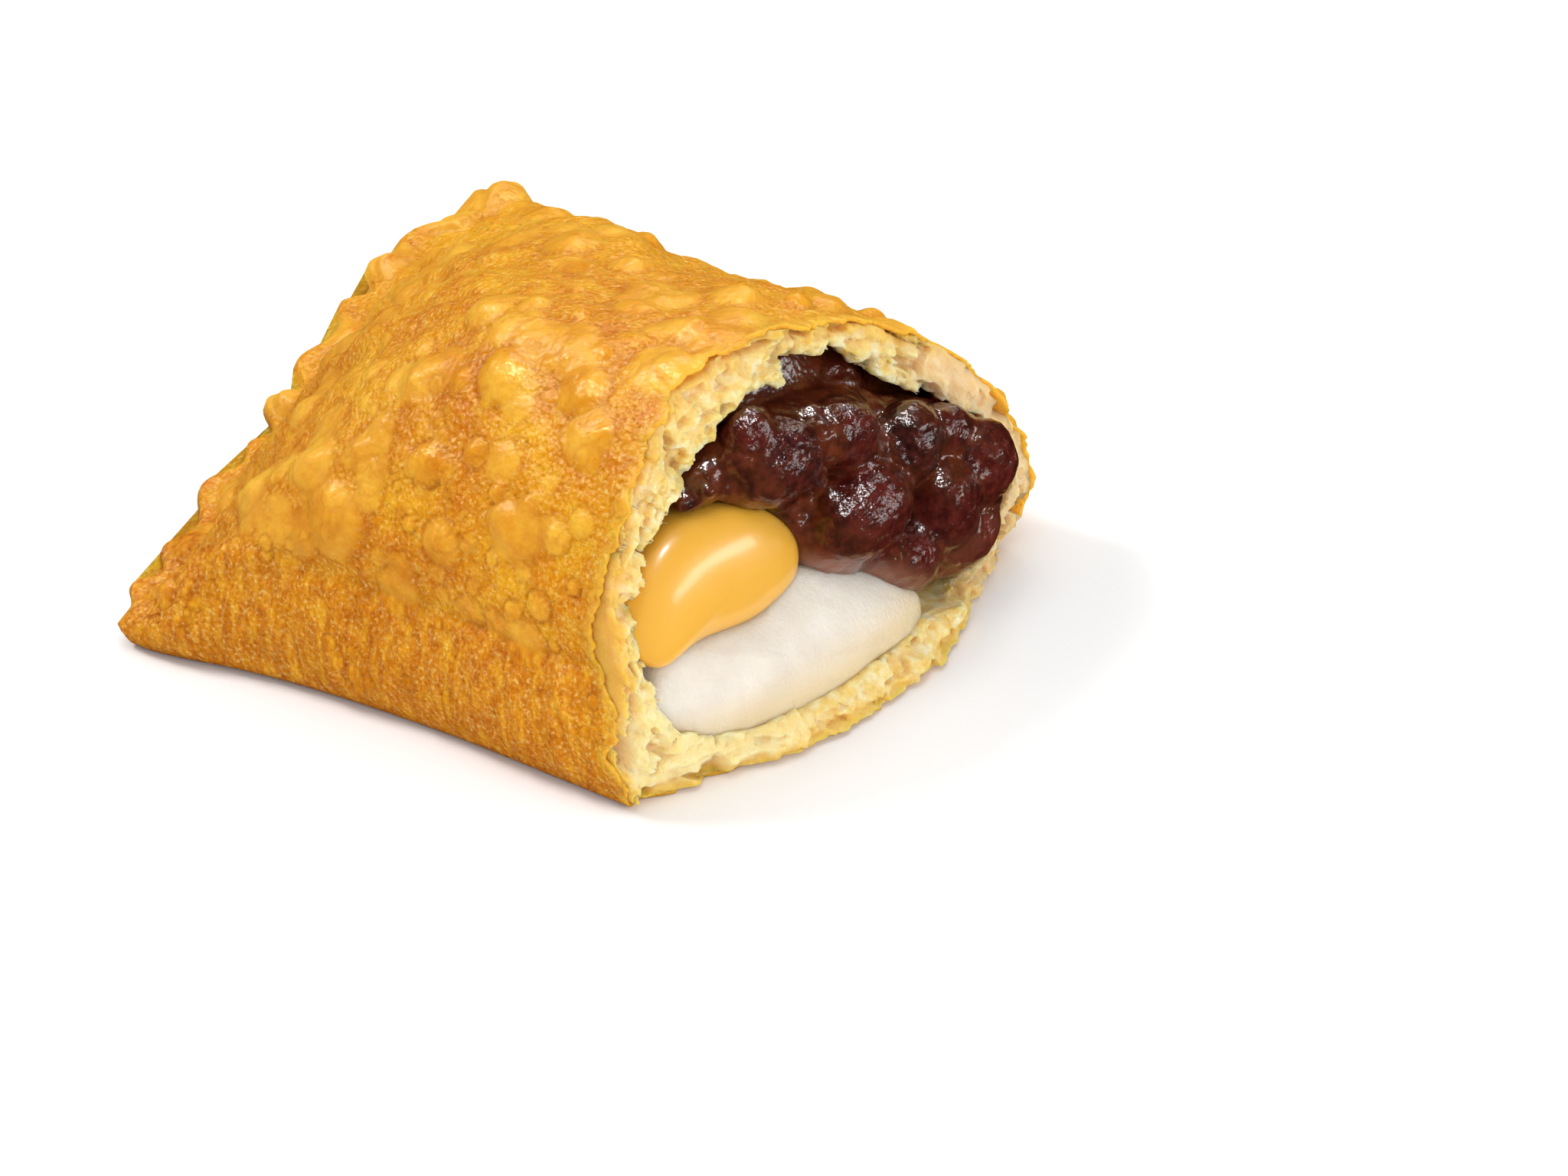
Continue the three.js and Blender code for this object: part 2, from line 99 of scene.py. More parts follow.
# Blisters that stand out: x, y, z in the driving frame, radius, height as a share of it, gloss
BLISTERS = [
    (-21.4, 11.5, 31.3, 3.0, 0.34, 0.8), (-31.7, 10.3, 28.6, 3.0, 0.26, 0.2),
    (-70.2, 45.2, 10.9, 3.2, 0.4, 0.0), (-68.9, 58.2, 11.6, 3.6, 0.4, 0.0),
    (-33.7, 33.1, 29.6, 2.9, 0.3, 0.3), (-53.4, 37.7, 20.7, 2.3, 0.3, 0.1),
    (-29.1, 18.1, 32.7, 2.9, 0.28, 0.3), (-19.8, 19.9, 33.7, 1.2, 0.4, 0.6),
    (-25.7, 32.3, 30.9, 2.2, 0.3, 0.2), (-34.0, 42.9, 25.0, 1.6, 0.4, 0.2),
    (-13.3, 12.7, 32.0, 2.8, 0.32, 0.6), (-16.6, 14.6, 32.8, 0.95, 0.45, 0.8),
    (-14.1, 16.5, 33.4, 1.1, 0.4, 0.6), (-18.4, 13.8, 32.5, 1.2, 0.35, 0.4),
    (-47.8, 22.1, 23.1, 2.4, 0.26, 0.1), (-46.9, 27.2, 24.2, 2.1, 0.26, 0.1),
    (-8.0, 17.6, 33.4, 3.8, 0.24, 0.3), (-12.3, 32.2, 31.5, 2.7, 0.3, 0.2),
    (-9.3, 36.0, 30.0, 1.4, 0.5, 1.0), (-8.8, 39.2, 28.4, 2.5, 0.34, 0.4),
    (-20.4, 29.1, 31.9, 2.3, 0.3, 0.2), (-17.4, 24.3, 33.1, 2.3, 0.28, 0.2),
    (-8.8, 44.6, 24.7, 1.8, 0.4, 0.4), (-54.6, -2.6, 5.9, 1.7, 0.34, 0.0),
    (-60.1, 10.2, 6.9, 2.2, 0.3, 0.0), (-54.8, 7.4, 9.6, 1.8, 0.3, 0.0), (-34.8, 1.4, 17.6, 3.8, 0.24, 0.2),
    (-25.8, 4.8, 24.6, 2.2, 0.36, 1.0), (-26.3, 2.2, 19.6, 0.85, 0.5, 1.0),
    (-17.1, 4.6, 24.6, 1.05, 0.5, 1.0), (-13.7, 4.6, 24.6, 0.9, 0.4, 0.6),
    (-8.7, 10.0, 30.2, 1.05, 0.5, 1.0), (-16.6, 7.5, 28.3, 0.6, 0.5, 0.8),
    (-22.3, 2.0, 19.0, 2.4, 0.26, 0.2), (-15.3, 3.5, 22.8, 2.3, 0.26, 0.3),
    (-34.4, 4.9, 23.0, 2.2, 0.26, 0.2), (-13.7, 1.3, 15.5, 1.0, 0.45, 0.8),
    (-10.8, 1.5, 16.7, 1.5, 0.34, 0.8), (-7.1, 2.3, 19.4, 0.85, 0.4, 0.5), (-4.1, 6.5, 26.9, 1.2, 0.3, 0.2),
    (-66.3, 24.7, 8.0, 2.6, 0.4, 0.0), (-69.1, 34.7, 9.5, 2.8, 0.4, 0.0),
    (-71.2, 52.9, 11.6, 2.8, 0.4, 0.0), (-40.6, 4.1, 19.8, 2.6, 0.26, 0.1),
    (-31.7, 2.6, 20.4, 1.7, 0.26, 0.2), (-21.0, 6.1, 26.7, 1.5, 0.34, 0.4),
    (-10.1, 3.7, 23.0, 1.9, 0.26, 0.2), (-26.0, 10.3, 30.1, 1.5, 0.3, 0.3),
    (-24.9, 19.3, 33.5, 1.7, 0.3, 0.3), (-10.6, 23.6, 33.4, 2.8, 0.28, 0.2),
    (-5.6, 20.7, 33.5, 2.1, 0.26, 0.2), (-3.2, 52.8, 13.6, 1.6, 0.7, 0.3),
    (-2.6, 53.8, 10.8, 1.5, 0.7, 0.3),
]

# How far the pinched edge is drawn in, as pairs of y and millimetres
EDGE_DRAWN_IN = [
    (-2, 1.2), (0, 1.6), (7, 1.8), (12, 1.1), (15, 1.6), (18.5, 2.9), (20.5, 3.3), (24.5, 1.1), (27.5, 1.8),
    (29.5, 0.7), (33.2, 2.3), (37, 0.3), (41, 0.5), (44, -0.7), (48.5, -1.8), (50.4, -0.9), (52.2, 1.2),
    (56, 0.2), (60, 0.3),
]

# Broad swells and hollows of the roof: x, y, z, width, height
SWELLS = [
    (-38.5, 37.5, 26.5, 6.0, 1.9), (-31.0, 37.0, 28.0, 3.5, 0.7), (-27.0, 43.0, 25.5, 5.0, -1.7),
    (-60.5, 55.8, 13.6, 4.0, 1.3),
]

# The crumb of the torn edge
CRUMB_STEP = 0.19
CRUMB_DEPTH = 8.4  # the crumb is modelled this far behind the tear
CRUMB_GROWTH = 1.2  # its steps grow by this from the fine part towards the back
CRUMB_FINE = (-2.8, 2.4)
CRUMB_SPAN_Y = (-2.4, 56.0)
CRUMB_SPAN_Z = (-0.5, 36.0)
CRUMB_SMOOTHING = (2, 0.3)
BROKEN_SPAN = (0.8, 3.2)  # over these depths the torn hole becomes the cavity
COARSE = dict(wall=14, rise=26, fall=30, fold=9, base=6, corner=4)

# Tables of distances to a loop
TABLE_STEP = 0.1
TABLE_LOW = (-6.0, -6.0)
TABLE_HIGH = (60.0, 42.0)

# Where the torn crumb ends and the filling begins, as y, z on the torn face
HOLE_OUTLINE = [
    (4.0, 16.0), (4.9, 18.3), (6.4, 19.7), (7.1, 21.5), (8.8, 22.5), (11.0, 22.9), (12.9, 24.1),
    (15.0, 24.7), (16.3, 26.6), (18.7, 27.5), (20.2, 28.5), (23.2, 28.5), (25.4, 28.4), (28.0, 27.8),
    (29.0, 29.5), (31.2, 28.8), (35.5, 27.3), (36.5, 25.5), (38.4, 23.7), (39.9, 21.9), (41.6, 20.7),
    (42.8, 19.2), (44.6, 19.2), (45.5, 17.9), (46.6, 16.4), (48.7, 14.6), (50.6, 12.4), (51.7, 10.6),
    (51.9, 8.8), (51.4, 6.8), (50.4, 5.2), (49.2, 4.0), (47.8, 2.6), (45.0, 1.8), (39.5, 2.1), (34.0, 3.1),
    (25.0, 3.3), (12.0, 3.4), (8.0, 4.2), (5.4, 5.6), (4.3, 8.0), (4.0, 11.5),
]

# The fillings
FILL_BACK = -20.0
BACK_RINGS = 24
FACE_RINGS = 40
CURVE_STEPS = 40
EASING = (260, 0.6)
SOLID_POINTS = 160
MOCHI_POINTS, MOCHI_BULGE, MOCHI_BACK = 260, (2.2, 3.4), 1.6
CREAM_POINTS, CREAM_BULGE, CREAM_FACE = 240, (3.3, 6.6), (-0.8, 4.2)
PASTE_STEP = 0.25
PASTE_LOW = (-16.0, 8.0, 0.5)
PASTE_HIGH = (7.0, 53.5, 30.5)
PASTE_FACE = (1.2, 5.6)
PASTE_ROUND = 1.6
PASTE_SMOOTHING = (2, 0.4)
INTO_MOCHI, INTO_CREAM = 1.8, 0.7  # the paste is let in this far, so that no gap shows
BEAN_SEAM, LUMP_SEAM = 1.7, 1.0
BEAN_THICK = 0.46
LUMPS = 60
LUMP_SEED = 5
LUMP_LOW, LUMP_SPAN = (12, 5), (40, 20)  # where lumps may lie, in y and z
STAMP_MARGIN = 1.2

# Outlines on the torn face, as y, z
MOCHI_OUTLINE = [
    (4.3, 8.8), (7.4, 11.7), (12, 11.4), (17.5, 10.6), (22.5, 12.0), (26, 11.2), (31.2, 8.0), (34.9, 4.4),
    (34.0, 2.9), (27, 2.8), (16, 2.6), (11.0, 2.9), (7.0, 4.2), (4.6, 6.2),
]
CREAM_OUTLINE = [
    (3.7, 14.4), (5.8, 18.8), (10.4, 21.6), (16.6, 21.2), (21.8, 18.8), (24.7, 14.4), (23.4, 11.4),
    (17.8, 10.2), (10.6, 11.4), (5.4, 11.4),
]
PASTE_OUTLINE = [
    (12.6, 22.4), (15.8, 25.2), (21, 26.2), (28, 25.8), (34.5, 24.0), (40.5, 20.4), (46.5, 16.6),
    (50.6, 11.2), (49.4, 6.8), (45.8, 3.0), (41, 2.2), (34.8, 3.4), (30.1, 7.8), (24.5, 11.5), (22.8, 17.0),
    (17.8, 20.8),
]

# Beans in the paste's face: y, z, how far out, length, width, tilt in degrees, redness
BEANS = [
    (31.0, 14.2, 0.5, 11.4, 7.8, 8, 0.5), (24.0, 22.4, -1.8, 10.4, 6.6, 5, 0.2),
    (31.8, 21.6, -1.4, 7.8, 5.8, -20, 0.4), (38.6, 17.4, -0.4, 7.4, 6.2, 60, 0.0),
    (46.3, 11.6, 0.4, 8.0, 7.4, 75, 0.6), (40.6, 10.2, 1.2, 8.8, 6.4, 80, 0.4),
    (43.8, 5.6, 0.8, 7.4, 5.0, 25, 0.7), (34.8, 7.8, 1.6, 7.4, 5.0, -30, 0.6),
    (21.8, 26.0, -3.2, 5.6, 4.6, 30, 0.6), (43.6, 15.8, -0.8, 6.0, 4.8, -10, 0.4),
    (33.6, 18.2, -1.6, 5.4, 4.4, 0, 0.5), (36.6, 21.8, -7.6, 7.8, 6.0, 30, 0.4),
    (28.6, 24.0, -9.6, 8.0, 6.2, -15, 0.4), (19.6, 24.2, -8.5, 7.6, 6.0, 15, 0.3),
]

# Camera, floor and light
AZIMUTH, ELEVATION, ROLL = math.radians(45.3), math.radians(31.7), math.radians(7.0)
CAMERA_DISTANCE = 850.0
PIXELS_PER_MM = 15.1
OFF_CENTRE = (-189.0, -294.0)  # pixels from the picture's middle to the front foot of the tear
FRONT_FOOT = np.array([32.65, -26.95, 0.0])
IMAGE_WIDTH = 2048
SENSOR_WIDTH = 36.0
CLIP_START = 0.01
FLOOR_HALF = 3.0
FLOOR_DROP = 0.0001
MIDDLE = (0, 0, 0.015)
WORLD_STRENGTH = 0.38


def clamp(t):
    return np.clip(t, 0.0, 1.0)


def mix(a, b, t):
    return a + (b - a) * t


def smooth(t):
    t = clamp(t)
    return t * t * (3 - 2 * t)


def rising(value, start, over):
    return smooth((value - start) / over)


def falling(value, end, over):
    return smooth((end - value) / over)


def lattice(i, j, k):
    s = np.sin(i * 127.1 + j * 311.7 + k * 74.7) * 43758.5453
    return 2 * (s - np.floor(s)) - 1


def noise(x, y, z):
    """Smooth noise between -1 and 1, about one wave for each unit of length."""
    x, y, z = np.broadcast_arrays(np.asarray(x, float), np.asarray(y, float), np.asarray(z, float))
    i, j, k = np.floor(x), np.floor(y), np.floor(z)
    a, b, c = (t * t * (3 - 2 * t) for t in (x - i, y - j, z - k))
    total = np.zeros(x.shape)
    for di, wi in ((0, 1 - a), (1, a)):
        for dj, wj in ((0, 1 - b), (1, b)):
            for dk, wk in ((0, 1 - c), (1, c)):
                total += wi * wj * wk * lattice(i + di, j + dj, k + dk)
    return total


def rough_noise(points, size, octaves, gain, seed=0.0):
    """Octaves of noise at points (..., 3), the first with waves of this size."""
    total, weight, q = 0.0, 1.0, points / size + seed
    for _ in range(octaves):
        total = total + weight * noise(q[..., 0], q[..., 1], q[..., 2])
        weight *= gain
        q = q * 2.03 + 11.7
    return total


def quarter_turn(steps):
    return np.arange(steps) / steps * HALF_PI


def section_loop(s, steps):
    """Closed loop (n, 2) of y, z: front wall, roof in two quarter ellipses, back fold, base, corner."""
    wall_top, low = s["front"] + s["inset"], s["foot"]
    f = np.arange(steps["wall"]) / steps["wall"]
    wall = (mix(s["front"], wall_top, f * f) - s["bulge"] * np.sin(math.pi * f ** 0.8),
            mix(low + s["corner"], s["band"], f))
    a = quarter_turn(steps["rise"])
    rise = mix(s["peak_y"], wall_top, np.cos(a)), mix(s["band"], s["peak"], np.sin(a))
    a = quarter_turn(steps["fall"])
    fall = mix(s["peak_y"], s["back"], np.sin(a)), mix(s["fold"], s["peak"], np.cos(a))
    a = quarter_turn(steps["fold"])
    fold = mix(s["heel"], s["back"], np.cos(a)), mix(s["fold"], low, np.sin(a))
    y = mix(s["heel"], s["front"] + s["corner"], np.arange(steps["base"]) / steps["base"])
    base = y, np.full(len(y), low)
    a = quarter_turn(steps["corner"])
    corner = s["front"] + s["corner"] * (1 - np.sin(a)), low + s["corner"] * (1 - np.cos(a))
    return np.concatenate([np.stack(part, 1) for part in (wall, rise, fall, fold, base, corner)])


def fullness(u):
    t = clamp((u - FULL_START) / FULL_OVER)
    return 1 - (1 - clamp(1.1 * t * t / (t + 0.1))) ** 2.1


def section_at(u):
    """The skin's section at a share u of the length."""
    section = {key: mix(SEAL_SECTION[key], TEAR_SECTION[key], fullness(u)) for key in TEAR_SECTION}
    section["band"] = mix(SEAL_SECTION["band"], TEAR_SECTION["band"], fullness(u * WALL_LEAD))
    return section


def lift(u, y):
    return SEAL_LIFT * (1 - smooth(u / LIFT_END)) * clamp((y + SEAL_FLARE) / SEAL_WIDTH) ** 1.25


def seal_x(y):
    t = (y + SEAL_FLARE) / SEAL_WIDTH
    wave = 0.9 * np.sin(y * 0.95 + 1.1 * np.sin(y * 0.31)) + 0.6 * noise(y * 0.33, 4.5, 0.5)
    return -FRONT_LENGTH - OBLIQUE * np.sin(HALF_PI * clamp(t / OBLIQUE_SHARE)) ** 1.3 + wave


def tear_x(y, z, rough=1.0):
    """The torn face: its lower lip reaches out and its top slants back."""
    low, high = clamp(1 - z / LIP_HEIGHT), clamp((z - SLANT_FOOT) / SLANT_HEIGHT) ** 1.2
    ragged = 0.8 * noise(y * 0.37, z * 0.37, 2.5) + 0.5 * noise(y * 0.9, z * 0.9, 7.5)
    return LIP * low * np.sin(math.pi * clamp(y / LIP_WIDTH)) - SLANT * high + rough * ragged


def rim_roll(u, y, z):
    return RIM_ROLL * rising(u, *ROLL_SPAN) * smooth(z / 20) * mix(0.35, 1, rising(y, 14, 22))


def skin_back(y, z):
    """How far the skin's edge stands back behind the torn face."""
    flap = mix(0.7, SKIN_BACK, rising(z, 9, 4) * falling(z, 22, 6))
    return 0.5 + falling(y, 9, 8) * rising(z, 1, 4) * flap


def sag(u, y, z):
    start, over = SAG_SPAN
    return SAG * np.sin(math.pi * clamp((u - start) / over)) * rising(y, 16, 14) * smooth(z / 12)


def skin_ring(u, steps):
    """The bare skin's ring (n, 3) at a share u of the length."""
    y, z = section_loop(section_at(u), steps).T
    ty, tz = section_loop(TEAR_SECTION, steps).T
    x = mix(seal_x(y), tear_x(ty, tz) - skin_back(ty, tz), u)
    low = np.where(z > 0.01, rim_roll(u, y, z) + sag(u, y, z), 0.0)
    return np.stack([x, y, z - low + lift(u, y)], 1)


def cavity_loop(steps):
    y, z = section_loop(CAVITY_SECTION, steps).T
    thin = CAVITY_SECTION["foot"] - CAVITY_HEEL
    return np.stack([y, z - thin * rising(y, 33, 7) * clamp(1 - (z - CAVITY_SECTION["foot"]) / 5)], 1)


def surface_nets(field, axes):
    """Vertices (n, 3) and quads (m, 4) of the zero surface of a closed field, negative inside."""
    solid, unit = field < 0, np.eye(3, dtype=int)
    corners = list(np.ndindex(2, 2, 2))
    n = [size - 1 for size in field.shape]
    some, every = np.zeros(n, bool), np.ones(n, bool)
    for a, b, c in corners:
        part = solid[a:a + n[0], b:b + n[1], c:c + n[2]]
        some |= part
        every &= part
    mixed = np.argwhere(some & ~every)
    total, count = np.zeros((len(mixed), 3)), np.zeros(len(mixed))
    for axis in range(3):
        for offset in (c for c in corners if c[axis] == 0):
            start = mixed + offset
            end = start + unit[axis]
            f0, f1 = field[tuple(start.T)], field[tuple(end.T)]
            crossed = (f0 < 0) != (f1 < 0)
            place = start[crossed].astype(float)
            place[:, axis] += f0[crossed] / (f0[crossed] - f1[crossed])
            total[crossed] += place
            count[crossed] += 1
    place = total / count[:, None]
    columns = [np.interp(place[:, k], np.arange(len(axes[k])), axes[k]) for k in range(3)]
    number = np.full(n, -1, np.int64)
    number[tuple(mixed.T)] = np.arange(len(mixed))
    quads = []
    for axis in range(3):
        first, second = unit[axis - 2], unit[axis - 1]
        edges = np.argwhere(np.diff(solid, axis=axis))
        ring = [edges - a * first - b * second for a, b in ((1, 1), (0, 1), (0, 0), (1, 0))]
        quad = np.stack([number[tuple(cell.T)] for cell in ring], 1)
        outward = solid[tuple(edges.T)]
        quad[~outward] = quad[~outward][:, ::-1]
        quads.append(quad)
    return np.stack(columns, 1), np.concatenate(quads)


def largest_part(vertices, quads):
    """The largest connected part of a mesh."""
    label = np.arange(len(vertices))
    while True:
        low = label[quads].min(1)
        new = label.copy()
        for column in quads.T:
            np.minimum.at(new, column, low)
        new = new[new]
        if (new == label).all():
            break
        label = new
    keep = label == np.bincount(label).argmax()
    renumber = np.cumsum(keep) - 1
    return vertices[keep], renumber[quads[keep[quads[:, 0]]]]


def relax(vertices, quads, times, share):
    """Laplacian smoothing of a quad mesh."""
    a, b = quads.ravel(), np.roll(quads, -1, 1).ravel()
    start, end = np.concatenate([a, b]), np.concatenate([b, a])
    degree = np.bincount(start, minlength=len(vertices))[:, None]
    for _ in range(times):
        sums = [np.bincount(start, vertices[end, k], len(vertices)) for k in range(3)]
        vertices = mix(vertices, np.stack(sums, 1) / np.maximum(degree, 1), share)
    return vertices


def soft_min(a, b, width):
    near = np.maximum(width - np.abs(a - b), 0) / width
    return np.minimum(a, b) - near * near * width / 4


def closed(field, outside):
    """The field with its outer layer outside, so that its surface closes."""
    for k in range(3):
        layers = np.moveaxis(field, k, 0)
        layers[[0, -1]] = np.maximum(layers[[0, -1]], outside)
    return field


def cells(points, seed):
    """Cells of size one at points (n, d): each cell's own number from -1 to 1, and how far inside it."""
    size = points.shape[1]
    base = np.floor(points)
    first, second = np.full(len(points), 9.0), np.full(len(points), 9.0)
    own = np.zeros(len(points))
    for step in np.ndindex(*[3] * size):
        cell = base + step - 1
        i, j, k = (cell[:, a] if a < size else 0.5 for a in range(3))
        seeds = [lattice(i + seed + 17.3 * a, j - 5.1 * a, k + 2.7 * a) for a in range(4)]
        centre = cell + 0.5 + 0.42 * np.stack(seeds[:size], 1)
        away = np.sqrt(((points - centre) ** 2).sum(1))
        nearer = away < first
        second = np.where(nearer, first, np.minimum(second, away))
        first = np.where(nearer, away, first)
        own = np.where(nearer, seeds[3], own)
    return own, second - first


class Field:
    """A distance field on a grid, in millimetres in the driving frame, negative inside."""

    def __init__(self, low, high, step):
        self.low, self.step = np.array(low, float), step
        self.shape = tuple(np.ceil((np.array(high) - self.low) / step).astype(int) + 1)
        self.value = np.zeros(self.shape, np.float32)

    def axes(self, start, end):
        return np.ix_(*(self.low[k] + self.step * np.arange(start[k], end[k]) for k in range(3)))

    def all_axes(self):
        return self.axes((0, 0, 0), self.shape)

    def stamp(self, centre, radii, turn, width):
        """Joins an ellipsoid, whose axes are the rows of turn, by a soft seam of this width."""
        reach = max(radii) + STAMP_MARGIN
        low, high = ((np.array(centre) + side * reach - self.low) / self.step for side in (-1, 1))
        start = np.maximum(np.floor(low).astype(int), 0)
        end = np.minimum(np.ceil(high).astype(int) + 1, self.shape)
        if (end <= start).any():
            return
        part = tuple(slice(s, e) for s, e in zip(start, end))
        x, y, z = self.axes(start, end)
        d = [x - centre[0], y - centre[1], z - centre[2]]
        squares, slopes = 0.0, 0.0
        for axis, radius in zip(turn, radii):
            along = d[0] * axis[0] + d[1] * axis[1] + d[2] * axis[2]
            squares = squares + (along / radius) ** 2
            slopes = slopes + (along / radius ** 2) ** 2
        length = np.sqrt(squares)
        distance = length * (length - 1) / np.sqrt(slopes + 1e-9)
        self.value[part] = soft_min(self.value[part], distance.astype(np.float32), width)

    def mesh(self):
        return surface_nets(closed(self.value, self.step), [axis.ravel() for axis in self.all_axes()])


def loop_distance(loop, y, z):
    """Signed distance to a closed loop (n, 2), negative inside, and the nearest point's number."""
    best = np.full(y.shape, 1e9)
    nearest = np.zeros(y.shape, int)
    crossings = np.zeros(y.shape, bool)
    for i, ((ay, az), (by, bz)) in enumerate(zip(loop, np.roll(loop, -1, 0))):
        ey, ez = by - ay, bz - az
        t = clamp(((y - ay) * ey + (z - az) * ez) / max(ey * ey + ez * ez, 1e-12))
        d = (y - ay - t * ey) ** 2 + (z - az - t * ez) ** 2
        closer = d < best
        best = np.where(closer, d, best)
        nearest = np.where(closer, i, nearest)
        if ez != 0:
            crossings ^= ((az > z) != (bz > z)) & (y < ey * (z - az) / ez + ay)
    return np.where(crossings, -1, 1) * np.sqrt(best), nearest


class LoopTable:
    """Signed distance to a closed loop of y, z, and the length along it, looked up in tables."""

    def __init__(self, loop):
        ys, zs = (np.arange(low, high, TABLE_STEP) for low, high in zip(TABLE_LOW, TABLE_HIGH))
        y, z = np.meshgrid(ys, zs, indexing="ij")
        distance, nearest = loop_distance(loop, y, z)
        sides = np.linalg.norm(np.roll(loop, -1, 0) - loop, axis=1)
        lengths = np.concatenate([[0], np.cumsum(sides)[:-1]])
        start = loop[nearest]
        self.distances = distance.astype(np.float32)
        self.lengths = lengths[nearest] + np.hypot(y - start[..., 0], z - start[..., 1]) * 0.6

    def look_up(self, table, y, z):
        y, z = np.broadcast_arrays(y, z)
        a = np.clip((y - TABLE_LOW[0]) / TABLE_STEP, 0, table.shape[0] - 1.001)
        b = np.clip((z - TABLE_LOW[1]) / TABLE_STEP, 0, table.shape[1] - 1.001)
        i, j = a.astype(int), b.astype(int)
        a, b = a - i, b - j
        return mix(mix(table[i, j], table[i + 1, j], a), mix(table[i, j + 1], table[i + 1, j + 1], a), b)

    def at(self, y, z):
        return self.look_up(self.distances, y, z)

    def along(self, y, z):
        return self.look_up(self.lengths, y, z)


def capped(rings):
    """Points and faces of a grid of closed rings (rings, n, 3) with a fan over each end."""
    number, count = rings.shape[:2]
    r, i = np.meshgrid(np.arange(number - 1), np.arange(count), indexing="ij")
    a, b = r * count + i, r * count + (i + 1) % count
    quads = np.stack([a, a + count, b + count, b], -1).reshape(-1, 4)
    total, i = number * count, np.arange(count)
    j = (i + 1) % count
    first = np.stack([np.full(count, total), i, j], 1)
    last = np.stack([np.full(count, total + 1), total - count + j, total - count + i], 1)
    points = np.concatenate([rings.reshape(-1, 3), rings[[0, -1]].mean(1)])
    return points, [quads, first, last]


def add_object(name, data):
    obj = bpy.data.objects.new(name, data)
    bpy.context.scene.collection.objects.link(obj)
    return obj


def make_object(name, points, faces, material, slot, node, attributes):
    """A mesh object from points in the driving frame, riding on the row's one body."""
    mesh = bpy.data.meshes.new(name)
    points = (points + SHIFT) * MM
    loops = np.concatenate([f.ravel() for f in faces])
    sizes = np.concatenate([np.full(len(f), f.shape[1]) for f in faces])
    mesh.vertices.add(len(points))
    mesh.vertices.foreach_set("co", points.astype(np.float32).ravel())
    mesh.loops.add(len(loops))
    mesh.loops.foreach_set("vertex_index", loops.astype(np.int32))
    mesh.polygons.add(len(sizes))
    mesh.polygons.foreach_set("loop_start", np.concatenate([[0], np.cumsum(sizes)[:-1]]).astype(np.int32))
    mesh.polygons.foreach_set("use_smooth", np.full(len(sizes), True))
    mesh.update(calc_edges=True)
    for key, values in attributes.items():
        layer = mesh.attributes.new(key, "FLOAT", "POINT")
        layer.data.foreach_set("value", values.astype(np.float32))
    mesh.materials.append(material)
    obj = add_object(name, mesh)
    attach(obj, "root")
    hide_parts(node)


def grid_normals(rings):
    along = np.gradient(rings, axis=0)
    around = np.roll(rings, -1, 1) - np.roll(rings, 1, 1)
    normal = np.cross(along, around)
    return normal / (np.linalg.norm(normal, axis=2, keepdims=True) + 1e-12)


def slow_relief(p):
    """The skin's slow unevenness, which the crumb under it follows."""
    x, y, z = p[..., 0], p[..., 1] - TEAR_WIDTH / 2, p[..., 2]
    return 0.45 * noise(x * 0.13, y * 0.13, z * 0.13) + 0.25 * noise(x * 0.4, y * 0.4, 3)


def seeded_blisters(rng, rings):
    """Medium blisters and small beads, spread over the roof and the front wall."""
    found = []
    heights = rings[..., 2]
    for count, low, high, share, gloss in SEEDED:
        radii = low + (high - low) * rng.random(count) ** 2.2
        for radius in radii:
            r, i = rng.integers(4, len(rings) - 3), rng.integers(0, rings.shape[1])
            if heights[r, i] < 2.0:
                continue
            on_band = rings[r, i, 1] < 3.0 and heights[r, i] < BAND
            if on_band and (radius > 1.3 or rng.random() < 0.55):
                continue
            found.append((*rings[r, i], radius, share * (0.7 + 0.6 * rng.random()), gloss * rng.random()))
    return found


def blister_field(points, blisters):
    """Height, paleness and gloss of the blisters at points (n, 3), and the rings round them."""
    height, pale, gloss, halo = (np.zeros(len(points)) for _ in range(4))
    order = np.argsort(points[:, 0])
    xs = points[order, 0]
    for x, y, z, radius, share, shine in blisters:
        wide = BLISTER_REACH * radius
        near = order[np.searchsorted(xs, x - wide):np.searchsorted(xs, x + wide)]
        away = ((points[near] - (x, y, z)) ** 2).sum(1) / radius ** 2
        near, away = near[away < 1.5], away[away < 1.5]
        inside_it = clamp(1 - away)
        dome = share * radius * inside_it ** mix(1.5, 0.85, shine)
        higher = dome > height[near]
        height[near] = np.maximum(height[near], dome) + 0.3 * np.minimum(height[near], dome)
        cover = smooth(inside_it * 1.8)
        pale[near] = np.maximum(pale[near], cover * mix(0.5, 1.0, clamp(radius / 2.5)))
        shiny = np.maximum(gloss[near] * (1 - cover), shine * cover)
        gloss[near] = np.where(higher, shiny, gloss[near])
        ring = np.exp(-((np.sqrt(away) - 1) / 0.13) ** 2) * mix(0.35, 1, shine)
        halo[near] = np.maximum(halo[near] * (1 - cover), ring)
    return height, pale, gloss, halo


def front_band(p):
    """How far each point belongs to the rough, ribbed band of the front wall."""
    below_top = BAND + 0.8 - p[:, 2] + 0.9 * noise(p[:, 0] * 0.5, 1.5, 0.5)
    return smooth(below_top / 1.6) * falling(p[:, 1], 8, 3)


